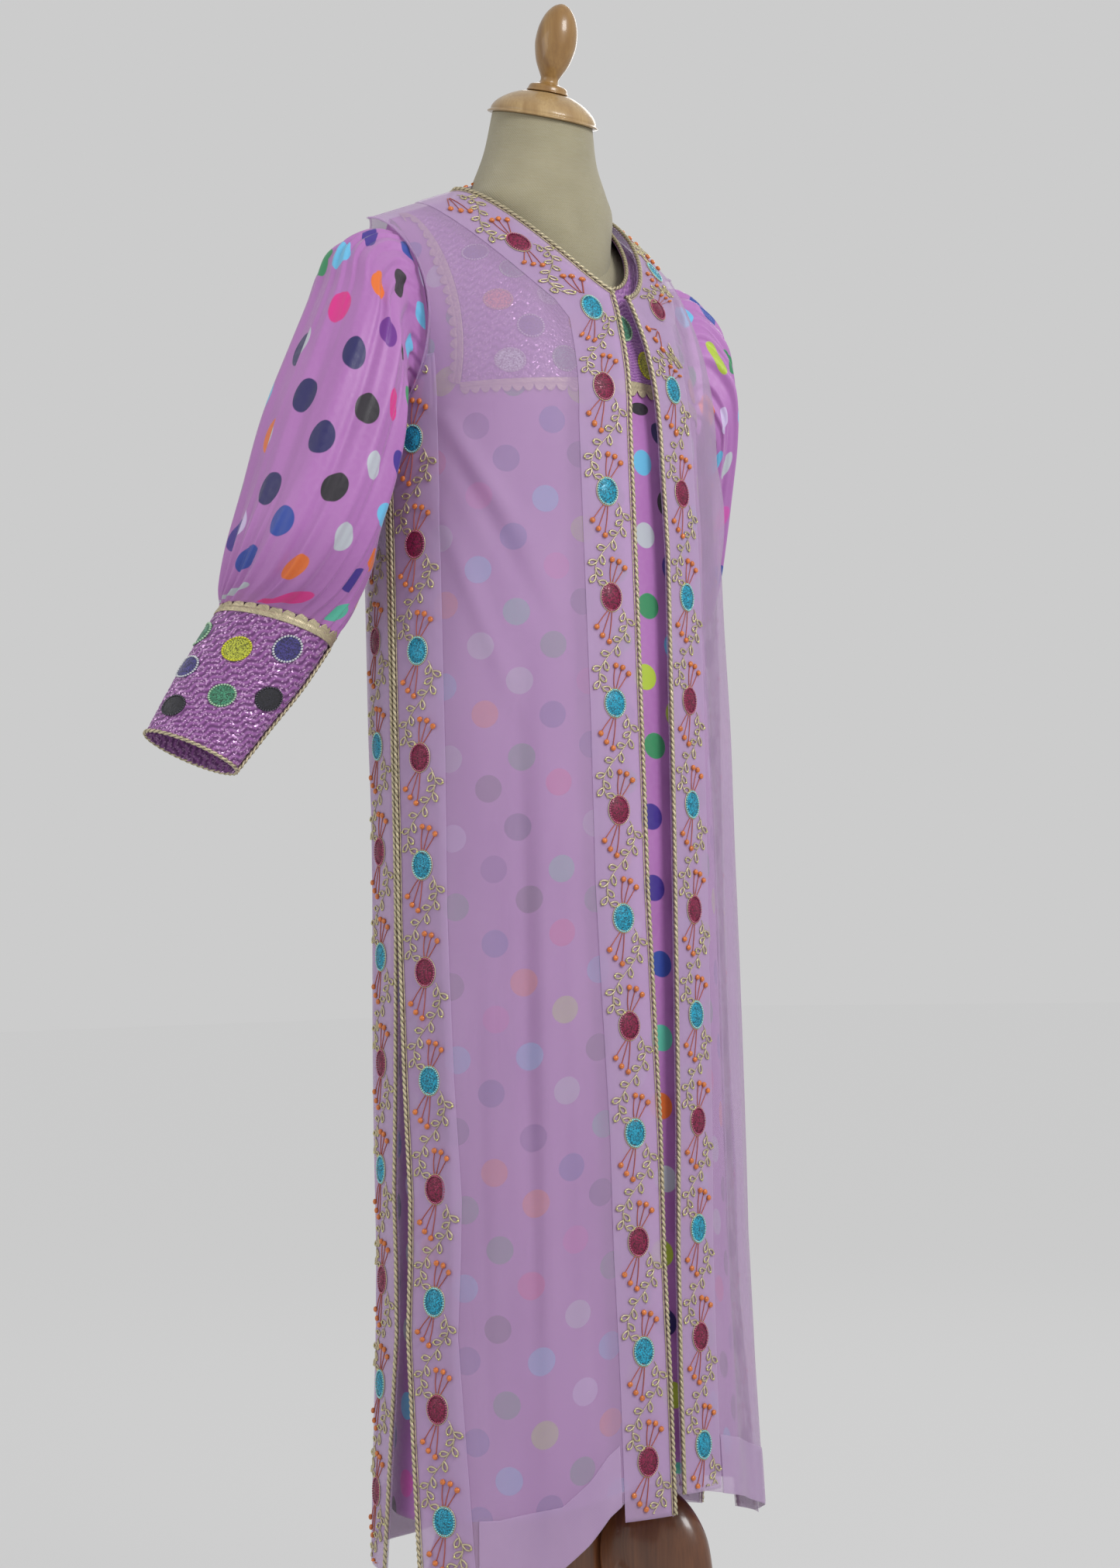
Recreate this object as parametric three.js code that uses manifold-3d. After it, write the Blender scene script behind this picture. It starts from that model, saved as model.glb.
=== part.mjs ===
// A girl's two-layer thobe standing on a turned wooden dress form.
// Inner layer: a satin dress with a bib yoke, puff sleeves and deep cuffs.
// Outer layer: a sheer sleeveless over-thobe, open down the front and slit at both sides.
// Millimetres, +Z up, front towards -Y, the wearer's right hand towards -X, floor at z = 0.

import * as THREE from 'three';
import Module from 'manifold-3d';

const wasm = await Module();
wasm.setup();

// ---------------------------------------------------------------- driving sizes
const HEM_Z = 170;                    // hem of the over-thobe above the floor
const LENGTH = 1152;                  // side neck point to hem
const NECK_Z = HEM_Z + LENGTH;        // height of the side neck point
const CHEST_DROP = 212;               // side neck point down to the underarm
const CHEST_Z = NECK_Z - CHEST_DROP;
const RISE = 200;                     // length given to the shoulder arch, chest to shoulder seam
const ARCH_POWER = 1.3;               // how full the chest is under the shoulder
const SHOULDER_SLOPE = 0.42;
const SHOULDER_ROUND = 30;            // rounds the shoulder line off across the neck
const SHOULDER_BACK = 15;             // how far the shoulder seam lies behind the middle
const SEAM = 0.3;                     // gap at a seam
const WALL = 1.2;                     // thickness of one cloth wall
const LAY = 0.8;                      // gap under a piece that lies on a panel
const BAND = 50;                      // width of the embroidered bands
const BAND_WALL = 1.1;
const PIPE = 3.2;                     // width of the gold piping
const PIPE_RISE = 2.4;
const HEM_BAND = 48;
const YOKE_DROP = 182;                // side neck point down to the yoke's lower edge
const YOKE_INSET = 2;                 // columns of the dress front left bare at each side
const OVAL = { along: 11.5, across: 9.5, rise: 1.6, sink: 0.8, sides: 6, repeat: 87.5 };
const LOW_ROWS = 12;                  // rows of a panel from hem to chest
const TOP_ROWS = 7;                   // rows from chest to shoulder seam
const FORM_TILT = THREE.MathUtils.degToRad(17);
const FRONT = -Math.PI / 2;

const COLOURS = {
  satin: 0xaa6eb4, chiffon: 0xb9a0cd, band: 0xc4b0d2, gold: 0xaa9b78, purple: 0x82397f,
  linen: 0x9b9682, oak: 0xaf8c64, turned: 0xa5824b, leg: 0x4a2d1c,
};

// Half-width and half-depth of each layer at drops below the side neck point,
// the y of its middle, and the size of the slow waves that hang down it.
const LAYERS = {
  outer: {
    lower: 0, topWidth: 176, folds: 'outer',
    sections: [
      { drop: 212, halfWidth: 170, halfDepth: 128, middle: 2 },
      { drop: 330, halfWidth: 170, halfDepth: 131, middle: 1 },
      { drop: 560, halfWidth: 170, halfDepth: 132, middle: 0 },
      { drop: 900, halfWidth: 172, halfDepth: 133, middle: 0 },
      { drop: 1152, halfWidth: 181, halfDepth: 142, middle: 0 },
    ],
  },
  dress: {
    lower: 6.3, topWidth: 153, folds: 'dress',
    sections: [
      { drop: 212, halfWidth: 149, halfDepth: 115, middle: 2 },
      { drop: 330, halfWidth: 150, halfDepth: 116, middle: 1 },
      { drop: 560, halfWidth: 152, halfDepth: 117, middle: 0 },
      { drop: 900, halfWidth: 156, halfDepth: 119, middle: 0 },
      { drop: 1152, halfWidth: 164, halfDepth: 126, middle: 0 },
    ],
  },
  form: {
    lower: 8.1, topWidth: 146, folds: 'none',
    sections: [
      { drop: 212, halfWidth: 126, halfDepth: 95, middle: 2 },
      { drop: 330, halfWidth: 110, halfDepth: 86, middle: 2 },
      { drop: 430, halfWidth: 126, halfDepth: 101, middle: 2 },
      { drop: 500, halfWidth: 130, halfDepth: 104, middle: 2 },
      { drop: 530, halfWidth: 122, halfDepth: 97, middle: 2 },
    ],
  },
};

// Hanging folds: where round the body (degrees from +X, front is -90), how wide, how far out
// (a trough is negative), and the drop from which each one grows over the next FOLD_GROWTH.
const FOLD_GROWTH = 160;
const FOLDS = {
  outer: [
    { at: -123, spread: 9, depth: 4.5, from: 330 },
    { at: -140, spread: 8, depth: -3.5, from: 420 },
    { at: -56, spread: 7, depth: -3.5, from: 360 },
    { at: -42, spread: 7, depth: 3.5, from: 330 },
    { at: 37, spread: 8, depth: -3.5, from: 430 },
    { at: 54, spread: 9, depth: 4.5, from: 300 },
    { at: 71, spread: 9, depth: -4, from: 360 },
    { at: 90, spread: 9, depth: 4.5, from: 260 },
    { at: 109, spread: 9, depth: -4, from: 400 },
    { at: 126, spread: 9, depth: 4.5, from: 320 },
    { at: 143, spread: 8, depth: -3.5, from: 450 },
  ],
  dress: [
    { at: -80, spread: 9, depth: 3, from: 240 },
    { at: -100, spread: 9, depth: -3, from: 240 },
    { at: -124, spread: 9, depth: 3, from: 300 },
    { at: -56, spread: 9, depth: -3, from: 300 },
    { at: -152, spread: 9, depth: -3, from: 400 },
    { at: -27, spread: 9, depth: 3, from: 400 },
    { at: 50, spread: 10, depth: 3, from: 300 },
    { at: 90, spread: 10, depth: -3, from: 260 },
    { at: 128, spread: 10, depth: 3, from: 320 },
  ],
  none: [],
};

// Neck curves: half-width at the side neck point, depth below it, and how square the curve is.
const NECKS = {
  outerFront: { half: 79, depth: 104, power: 1.7 },
  outerBack: { half: 79, depth: 24, power: 2.4 },
  dressFront: { half: 74, depth: 88, power: 1.9 },
  dressBack: { half: 74, depth: 20, power: 2.4 },
};

// The two front edges of the over-thobe: x of each at drops below the side neck point.
const FRONT_EDGES = [
  { drop: 100, right: -8, left: -2 },
  { drop: 160, right: -14, left: 8 },
  { drop: 220, right: -17, left: 14 },
  { drop: 320, right: -18, left: 16 },
  { drop: 600, right: -16, left: 11 },
  { drop: 800, right: -9.5, left: 7 },
  { drop: 1000, right: -9, left: -1 },
  { drop: 1152, right: -11, left: -5 },
];

// Half the gap between front and back panels down the side, at drops below the side neck point.
const SIDE_GAPS = [
  { drop: 212, gap: 0.4 },
  { drop: 620, gap: 0.4 },
  { drop: 760, gap: 4 },
  { drop: 850, gap: 8 },
  { drop: 960, gap: 5 },
  { drop: 1152, gap: 19 },
];

// How far each hem rises above the level of HEM_Z, by angle round the body (front is -90).
const HEM_CURVES = {
  outer: [
    { angle: -180, up: 0 }, { angle: -145, up: 2 }, { angle: -127, up: 12 }, { angle: -120, up: 29 },
    { angle: -114, up: 48 }, { angle: -107, up: 62 }, { angle: -100, up: 54 }, { angle: -94, up: 40 },
    { angle: -91, up: 62 }, { angle: -78, up: 53 }, { angle: -60, up: 40 }, { angle: -45, up: 26 },
    { angle: -25, up: 10 }, { angle: 0, up: 4 }, { angle: 60, up: 0 }, { angle: 180, up: 0 },
  ],
  dress: [
    { angle: -180, up: 42 }, { angle: -135, up: 48 }, { angle: -90, up: 72 }, { angle: -45, up: 48 },
    { angle: 0, up: 42 }, { angle: 180, up: 42 },
  ],
};

// ---------------------------------------------------------------- the cloth surfaces
const smooth = (t) => {
  const c = Math.min(1, Math.max(0, t));
  return c * c * (3 - 2 * c);
};

const lerp = (a, b, t) => a + (b - a) * t;

/** Reads a column of a table of rows sorted by drop. */
function fromTable(rows, column, drop) {
  if (drop <= rows[0].drop) return rows[0][column];
  for (let i = 1; i < rows.length; i += 1) {
    if (drop <= rows[i].drop) {
      const t = (drop - rows[i - 1].drop) / (rows[i].drop - rows[i - 1].drop);
      return lerp(rows[i - 1][column], rows[i][column], t);
    }
  }
  return rows[rows.length - 1][column];
}

/** Rise of a layer's hem at an angle. */
function hemRise(layer, angle) {
  const rows = HEM_CURVES[layer.folds];
  const degrees = THREE.MathUtils.radToDeg(angle);
  const next = rows.findIndex((row) => row.angle >= degrees);
  if (next <= 0) return HEM_Z - CHEST_Z + rows[0].up;
  const [a, b] = [rows[next - 1], rows[next]];
  return HEM_Z - CHEST_Z + lerp(a.up, b.up, (degrees - a.angle) / (b.angle - a.angle));
}

const shoulderZ = (layer, x) => NECK_Z - layer.lower
  - SHOULDER_SLOPE * (Math.hypot(x, SHOULDER_ROUND) - Math.hypot(NECKS.outerFront.half, SHOULDER_ROUND));

/** How far the hanging folds push the cloth out at an angle and drop. */
function foldOut(layer, angle, drop) {
  let out = 0;
  for (const fold of FOLDS[layer.folds]) {
    let away = THREE.MathUtils.radToDeg(angle) - fold.at;
    away -= 360 * Math.round(away / 360);
    const fade = smooth((drop - fold.from) / FOLD_GROWTH);
    out += fold.depth * fade * Math.exp(-((away / fold.spread) ** 2));
  }
  return out;
}

/** A point of a layer. Below the chest, rise is the height above it (negative) and the section
 *  is an ellipse; above it, rise runs along an arch that closes at the shoulder seam, where
 *  front and back stay parted by the seam gap. */
function bodyPoint(layer, angle, rise) {
  const arch = Math.max(0, rise) / RISE * Math.PI / 2;
  const drop = CHEST_DROP - Math.min(0, rise);
  const chestDrop = Math.max(drop, layer.sections[0].drop);
  const width = fromTable(layer.sections, 'halfWidth', chestDrop);
  const depth = fromTable(layer.sections, 'halfDepth', chestDrop);
  const middle = fromTable(layer.sections, 'middle', chestDrop);
  const out = foldOut(layer, angle, drop);
  const halfWidth = lerp(width, layer.topWidth, smooth(Math.sin(Math.min(arch, Math.PI / 2))));
  const x = (halfWidth + out) * Math.cos(angle);
  const fore = Math.sign(Math.cos(arch)) * Math.abs(Math.cos(arch)) ** ARCH_POWER;
  const part = Math.sign(Math.sin(angle)) * SEAM / 2 * Math.sin(arch);
  const back = SHOULDER_BACK * smooth(rise / 150);
  const y = middle + (depth + out) * Math.sin(angle) * fore + part + back;
  const z = CHEST_Z + Math.min(0, rise) + (shoulderZ(layer, x) - CHEST_Z) * Math.sin(arch);
  return new THREE.Vector3(x, y, z);
}

/** The two tangents of a layer at a point, by small steps. */
function bodyTangents(layer, angle, rise) {
  const da = 1e-3;
  const dr = 0.2;
  const across = bodyPoint(layer, angle + da, rise).sub(bodyPoint(layer, angle - da, rise));
  const up = bodyPoint(layer, angle, rise + dr).sub(bodyPoint(layer, angle, rise - dr));
  return { across: across.divideScalar(2 * da), up: up.divideScalar(2 * dr) };
}

function bodyNormal(layer, angle, rise) {
  const { across, up } = bodyTangents(layer, angle, rise);
  return across.cross(up).normalize();
}

/** Walks a distance over a layer from (angle, rise) in a 3-D direction; gives the new place. */
function walk(layer, place, direction, distance) {
  const steps = Math.max(1, Math.ceil(distance / 8));
  let { angle, rise } = place;
  const heading = direction.clone();
  for (let i = 0; i < steps; i += 1) {
    const { across, up } = bodyTangents(layer, angle, rise);
    const aa = across.dot(across);
    const au = across.dot(up);
    const uu = up.dot(up);
    const normal = across.clone().cross(up).normalize();
    heading.addScaledVector(normal, -heading.dot(normal)).normalize();
    const ha = heading.dot(across);
    const hu = heading.dot(up);
    const det = aa * uu - au * au;
    angle += (distance / steps) * (ha * uu - hu * au) / det;
    rise += (distance / steps) * (hu * aa - ha * au) / det;
  }
  return { angle, rise };
}

/** Rise at which an angle's column meets a neck curve, or the shoulder seam. */
function topRise(layer, neck, angle) {
  let arch = Math.PI / 2;
  let x = layer.topWidth * Math.cos(angle);
  if (Math.abs(x) >= neck.half) return RISE;
  for (let i = 0; i < 30; i += 1) {
    const z = neckZ(layer, neck, x);
    arch = Math.asin(Math.min(1, (z - CHEST_Z) / (shoulderZ(layer, x) - CHEST_Z)));
    x = bodyPoint(layer, angle, arch / (Math.PI / 2) * RISE).x;
  }
  return arch / (Math.PI / 2) * RISE;
}

const neckZ = (layer, neck, x) => NECK_Z - layer.lower - neck.depth
  + neck.depth * Math.min(1, Math.abs(x) / neck.half) ** neck.power;

// ---------------------------------------------------------------- closed walls
/** Turns a closed geometry the right way out. */
function facingOut(geometry) {
  const p = geometry.getAttribute('position');
  const index = geometry.getIndex().array;
  const [a, b, c] = [new THREE.Vector3(), new THREE.Vector3(), new THREE.Vector3()];
  let volume = 0;
  for (let i = 0; i < index.length; i += 3) {
    a.fromBufferAttribute(p, index[i]);
    b.fromBufferAttribute(p, index[i + 1]);
    c.fromBufferAttribute(p, index[i + 2]);
    volume += a.dot(b.cross(c));
  }
  if (volume < 0) {
    for (let i = 0; i < index.length; i += 3) [index[i], index[i + 1]] = [index[i + 1], index[i]];
  }
  return geometry;
}

/** A closed wall between two grids of points, rows by columns. A ring has its last column joined
 *  to its first. */
function wallGeometry(outer, inner, ring = false) {
  const rows = outer.length;
  const cols = outer[0].length;
  const positions = [];
  for (const grid of [outer, inner]) {
    for (const row of grid) for (const p of row) positions.push(p.x, p.y, p.z);
  }
  const id = (side, i, j) => side * rows * cols + i * cols + (j % cols);
  const index = [];
  const quad = (a, b, c, d) => index.push(a, b, c, a, c, d);
  const last = ring ? cols : cols - 1;
  for (let i = 0; i < rows - 1; i += 1) {
    for (let j = 0; j < last; j += 1) {
      quad(id(0, i, j), id(0, i, j + 1), id(0, i + 1, j + 1), id(0, i + 1, j));
      quad(id(1, i, j), id(1, i + 1, j), id(1, i + 1, j + 1), id(1, i, j + 1));
    }
  }
  for (let j = 0; j < last; j += 1) {
    quad(id(1, 0, j), id(1, 0, j + 1), id(0, 0, j + 1), id(0, 0, j));
    quad(id(0, rows - 1, j), id(0, rows - 1, j + 1), id(1, rows - 1, j + 1), id(1, rows - 1, j));
  }
  if (!ring) {
    for (let i = 0; i < rows - 1; i += 1) {
      quad(id(0, i, 0), id(0, i + 1, 0), id(1, i + 1, 0), id(1, i, 0));
      quad(id(1, i, cols - 1), id(1, i + 1, cols - 1), id(0, i + 1, cols - 1), id(0, i, cols - 1));
    }
  }
  const geometry = new THREE.BufferGeometry();
  geometry.setAttribute('position', new THREE.Float32BufferAttribute(positions, 3));
  geometry.setIndex(index);
  return facingOut(geometry);
}

/** A wall that lies on a layer between two heights above it, over a grid of places.
 *  Ease is the extra height it stands off where the shoulder rounds over. */
function layerWall(layer, places, low, high, ease = 0) {
  const lift = (height) => places.map((row) => row.map(({ angle, rise }) =>
    bodyPoint(layer, angle, rise).addScaledVector(bodyNormal(layer, angle, rise),
      height + ease * smooth(rise / (0.6 * RISE)))));
  return wallGeometry(lift(high), lift(low));
}

/** Splits 0..1 at breaks, each stretch into its own count of steps. */
function divide(breaks, counts) {
  const stops = [breaks[0]];
  counts.forEach((count, k) => {
    for (let i = 1; i <= count; i += 1) stops.push(lerp(breaks[k], breaks[k + 1], i / count));
  });
  return stops;
}

/** Like divide, with each stretch closer spaced towards its end (closing 1) or its start (-1). */
function divideClosing(breaks, counts, closing) {
  const stops = [breaks[0]];
  counts.forEach((count, k) => {
    for (let i = 1; i <= count; i += 1) {
      const t = i / count;
      const eased = { 1: 1 - (1 - t) ** 2, [-1]: t ** 2, 0: t }[closing[k]];
      stops.push(lerp(breaks[k], breaks[k + 1], eased));
    }
  });
  return stops;
}

/** Places over a panel whose sides are angles that depend on rise, from its hem to its top:
 *  lowRows up to the waist, a row at one rise all the way across, and topRows above it. */
function panelPlaces(layer, { left, right, armholes, bottom, top, across, lowRows, topRows, waist = 0 }) {
  const shareOf = (distance, reach) => (reach > 0 ? Math.max(0, 1 - distance / reach) : 0);
  const columns = across.map((u) => {
    const share = shareOf(u, armholes.left) - shareOf(1 - u, armholes.right);
    const angleAt = (rise) => lerp(left(rise), right(rise), u) + share * armholeBite(armholes.kind, rise);
    let end = top(angleAt(RISE));
    for (let i = 0; i < 20; i += 1) end = top(angleAt(end));
    const start = bottom(angleAt(HEM_Z - CHEST_Z));
    const rises = start < waist
      ? [...divide([start, waist], [lowRows]), ...divide([waist, end], [topRows]).slice(1)]
      : divide([start, end], [topRows]);
    return rises.map((rise) => ({ angle: angleAt(rise), rise }));
  });
  return columns[0].map((_, i) => columns.map((column) => column[i]));
}

/** Places over a strip beside a path: inward is a 3-D heading for each stop of the path. */
function stripPlaces(layer, path, from, to, steps) {
  return path.map((stop) => divide([from, to], [steps]).map((distance) => {
    const place = walk(layer, stop, stop.inward, distance * (stop.stretch ?? 1));
    place.rise = Math.min(place.rise, stop.limit ?? Infinity);
    return place;
  }));
}

// ---------------------------------------------------------------- the edges of the panels
const ARMHOLES = { outer: { bite: 27, power: 0.55 }, dress: { bite: 19, power: 0.6 } };

/** How far, in radians, the armhole cuts into a panel at a rise. */
function armholeBite(kind, rise) {
  const t = Math.min(1, Math.max(0, rise / RISE));
  const { bite, power } = ARMHOLES[kind];
  return THREE.MathUtils.degToRad(bite) * Math.abs(Math.sin(Math.PI * t)) ** power;
}

const seamAngle = (layer, gap) => gap / (layer.sections[0].halfDepth);

function outerSide(rise) {
  const gap = fromTable(SIDE_GAPS, 'gap', CHEST_DROP - Math.min(0, rise));
  return seamAngle(LAYERS.outer, gap);
}

function frontEdgeAngle(side, rise) {
  const arch = Math.max(0, rise) / RISE * Math.PI / 2;
  const drop = CHEST_DROP - Math.min(0, rise) - (CHEST_DROP - 20) * Math.sin(arch);
  const x = fromTable(FRONT_EDGES, side, drop);
  return FRONT + Math.asin(x / LAYERS.outer.sections[0].halfWidth);
}

const dressSide = seamAngle(LAYERS.dress, SEAM / 2);
const cornerAngle = (layer, neck) => Math.acos(neck.half / layer.topWidth);
const RISE_END = RISE - 0.25;         // panels end just short of the shoulder line

const topOf = (layer, neck) => (angle) => Math.min(RISE_END, topRise(layer, neck, angle));

/** Each kind of panel, seen from outside: the angles of its sides, its neck curve, where its
 *  columns are closest, and how far in from each side (0 to 1) its armholes reach. */
function panelEdges(kind) {
  const { outer, dress } = LAYERS;
  const outerCorner = cornerAngle(outer, NECKS.outerFront) / Math.PI;
  const dressCorner = cornerAngle(dress, NECKS.dressFront) / Math.PI;
  const edges = {
    frontRight: {
      layer: outer, left: (r) => -Math.PI + outerSide(r), right: (r) => frontEdgeAngle('right', r),
      neck: NECKS.outerFront, armholes: { kind: 'outer', left: 2 * outerCorner, right: 0 },
      breaks: [0, 2 * outerCorner, 1], counts: [8, 5], closing: [0, -1],
    },
    frontLeft: {
      layer: outer, left: (r) => frontEdgeAngle('left', r), right: (r) => -outerSide(r),
      neck: NECKS.outerFront, armholes: { kind: 'outer', left: 0, right: 2 * outerCorner },
      breaks: [0, 1 - 2 * outerCorner, 1], counts: [5, 8], closing: [1, 0],
    },
    back: {
      layer: outer, left: (r) => outerSide(r), right: (r) => Math.PI - outerSide(r),
      neck: NECKS.outerBack, armholes: { kind: 'outer', left: outerCorner, right: outerCorner },
      breaks: [0, outerCorner, 0.5, 1 - outerCorner, 1], counts: [8, 3, 3, 8],
      closing: [0, -1, 1, 0],
    },
    dressFront: {
      layer: dress, left: () => -Math.PI + dressSide, right: () => -dressSide,
      neck: NECKS.dressFront, armholes: { kind: 'dress', left: dressCorner, right: dressCorner },
      breaks: [0, dressCorner, 0.5, 1 - dressCorner, 1], counts: [6, 4, 4, 6],
      closing: [0, -1, 1, 0],
    },
    dressBack: {
      layer: dress, left: () => dressSide, right: () => Math.PI - dressSide,
      neck: NECKS.dressBack, armholes: { kind: 'dress', left: dressCorner, right: dressCorner },
      breaks: [0, dressCorner, 0.5, 1 - dressCorner, 1], counts: [5, 3, 3, 5],
      closing: [0, -1, 1, 0],
    },
  };
  return edges[kind];
}

function panel(kind, lowRows, topRows, waist = 0) {
  const { layer, left, right, armholes, neck, breaks, counts, closing } = panelEdges(kind);
  const places = panelPlaces(layer, {
    left, right, armholes, bottom: (angle) => hemRise(layer, angle), top: topOf(layer, neck),
    across: divideClosing(breaks, counts, closing), lowRows, topRows, waist,
  });
  return layerWall(layer, places, 0, WALL);
}

// ---------------------------------------------------------------- bands, piping and hems
const headingAlong = (layer, a, b) => bodyPoint(layer, b.angle, b.rise)
  .sub(bodyPoint(layer, a.angle, a.rise)).normalize();

/** Gives each stop of a path its inward heading, to the left of the way it runs. */
function withInward(layer, stops, corner = -1) {
  return stops.map((stop, i) => {
    const normal = bodyNormal(layer, stop.angle, stop.rise);
    const before = headingAlong(layer, stops[Math.max(0, i - 1)], stops[Math.max(1, i)]);
    const after = headingAlong(layer, stops[Math.min(stops.length - 2, i)],
      stops[Math.min(stops.length - 1, i + 1)]);
    const sideOf = (heading) => normal.clone().cross(heading).normalize();
    const inward = sideOf(before).add(sideOf(after)).normalize();
    const stretch = i === corner ? 1 / Math.max(0.6, inward.dot(sideOf(after))) : 1;
    return { ...stop, inward, stretch, limit: RISE_END };
  });
}

/** The neck curve of a layer from its middle to a shoulder, closer spaced near the seam. */
function neckStops(layer, neck, sign, middleX, front, count) {
  const stops = [];
  for (let i = 0; i <= count; i += 1) {
    const x = lerp(middleX, sign * neck.half, 1 - (1 - i / count) ** 2);
    const z = neckZ(layer, neck, x);
    const arch = Math.asin(Math.min(1, (z - CHEST_Z) / (shoulderZ(layer, x) - CHEST_Z)));
    const rise = Math.min(RISE_END, arch / (Math.PI / 2) * RISE);
    const full = bodyPoint(layer, 0, rise).x;
    const turn = Math.acos(Math.max(-1, Math.min(1, x / full)));
    stops.push({ angle: front ? -turn : turn, rise });
  }
  return stops;
}

/** The front edge from hem to neck corner, then the neck curve to the shoulder. */
function frontPath(side) {
  const layer = LAYERS.outer;
  const sign = side === 'right' ? -1 : 1;
  const topX = fromTable(FRONT_EDGES, side, 100);
  const neckline = neckStops(layer, NECKS.outerFront, sign, topX, true, 7);
  const hem = hemRise(layer, frontEdgeAngle(side, HEM_Z - CHEST_Z));
  const edge = divide([hem, 0, neckline[0].rise], [LOW_ROWS, 3])
    .map((rise) => ({ angle: frontEdgeAngle(side, rise), rise }));
  edge.pop();
  const stops = [...edge, ...neckline];
  if (side === 'left') stops.reverse();
  const corner = side === 'right' ? edge.length : neckline.length - 1;
  return { path: withInward(layer, stops, corner), corner };
}

/** The side edge of one panel, hem to underarm, run so that the panel lies on its left. */
function sidePath(which) {
  const layer = LAYERS.outer;
  const angleAt = (rise) => {
    const turn = outerSide(rise);
    return {
      frontRight: turn - Math.PI, backRight: Math.PI - turn, backLeft: turn, frontLeft: -turn,
    }[which];
  };
  const hem = hemRise(layer, angleAt(HEM_Z - CHEST_Z));
  const up = divide([hem, -3], [LOW_ROWS]).map((rise) => ({ angle: angleAt(rise), rise }));
  const upward = which === 'frontLeft' || which === 'backRight';
  return withInward(layer, upward ? up : up.reverse());
}

/** Back neck curve, from the wearer's left shoulder to the right one. */
function backNeckPath(layer, neck) {
  const toLeft = neckStops(layer, neck, 1, 0, false, 5);
  const toRight = neckStops(layer, neck, -1, 0, false, 5);
  return withInward(layer, [...toRight.reverse(), ...toLeft.slice(1)]);
}

const ON_PANEL = WALL + LAY;
const SHOULDER_EASE = 0.9;            // extra height of bands and piping where the shoulder rounds over

function strip(layer, path, from, to, steps, low, high) {
  return layerWall(layer, stripPlaces(layer, path, from, to, steps), low, high, SHOULDER_EASE);
}

const bandStrip = (path, steps) =>
  strip(LAYERS.outer, path, PIPE + SEAM, BAND, steps, ON_PANEL, ON_PANEL + BAND_WALL);
const pipeStrip = (path) =>
  strip(LAYERS.outer, path, 0, PIPE, 1, ON_PANEL, ON_PANEL + PIPE_RISE);

// ---------------------------------------------------------------- solid booleans
function toManifold(geometry) {
  return new wasm.Manifold(new wasm.Mesh({
    numProp: 3,
    vertProperties: new Float32Array(geometry.getAttribute('position').array),
    triVerts: new Uint32Array(geometry.getIndex().array),
  }));
}

function fromManifold(solid) {
  const mesh = solid.getMesh();
  const geometry = new THREE.BufferGeometry();
  geometry.setAttribute('position', new THREE.BufferAttribute(new Float32Array(mesh.vertProperties), 3));
  geometry.setIndex(new THREE.BufferAttribute(new Uint32Array(mesh.triVerts), 1));
  return geometry;
}

/** A flat-topped oval that stands on a band, its foot sunk just into it. */
function oval(layer, centre, heading, low, high) {
  const ring = (scale, height) => {
    const points = [];
    for (let k = 0; k < OVAL.sides; k += 1) {
      const turn = 2 * Math.PI * k / OVAL.sides;
      const normal = bodyNormal(layer, centre.angle, centre.rise);
      const sideways = heading.clone().cross(normal);
      const step = heading.clone().multiplyScalar(OVAL.along * scale * Math.cos(turn))
        .addScaledVector(sideways, OVAL.across * scale * Math.sin(turn));
      const place = walk(layer, centre, step.clone().normalize(), step.length());
      points.push(bodyPoint(layer, place.angle, place.rise)
        .addScaledVector(bodyNormal(layer, place.angle, place.rise), height));
    }
    return points;
  };
  return loft([ring(1, low), ring(0.8, high)]);
}

/** A closed solid through rings of points, with flat fans at both ends. */
function loft(rings) {
  const count = rings[0].length;
  const positions = [];
  for (const ring of rings) for (const p of ring) positions.push(p.x, p.y, p.z);
  const index = [];
  rings.slice(1).forEach((_, i) => {
    for (let k = 0; k < count; k += 1) {
      const a = i * count + k;
      const b = i * count + (k + 1) % count;
      index.push(a, b, b + count, a, b + count, a + count);
    }
  });
  const ends = [[0, true], [rings.length - 1, false]];
  for (const [i, flip] of ends) {
    const middle = rings[i].reduce((sum, p) => sum.add(p), new THREE.Vector3()).divideScalar(count);
    const m = positions.length / 3;
    positions.push(middle.x, middle.y, middle.z);
    for (let k = 0; k < count; k += 1) {
      const a = i * count + k;
      const b = i * count + (k + 1) % count;
      index.push(...(flip ? [m, b, a] : [m, a, b]));
    }
  }
  const geometry = new THREE.BufferGeometry();
  geometry.setAttribute('position', new THREE.Float32BufferAttribute(positions, 3));
  geometry.setIndex(index);
  return facingOut(geometry);
}

const stopPoints = (layer, path) => path.map(({ angle, rise }) => bodyPoint(layer, angle, rise));

const pathLength = (points) => points.slice(1)
  .reduce((sum, p, i) => sum + p.distanceTo(points[i]), 0);

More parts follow.
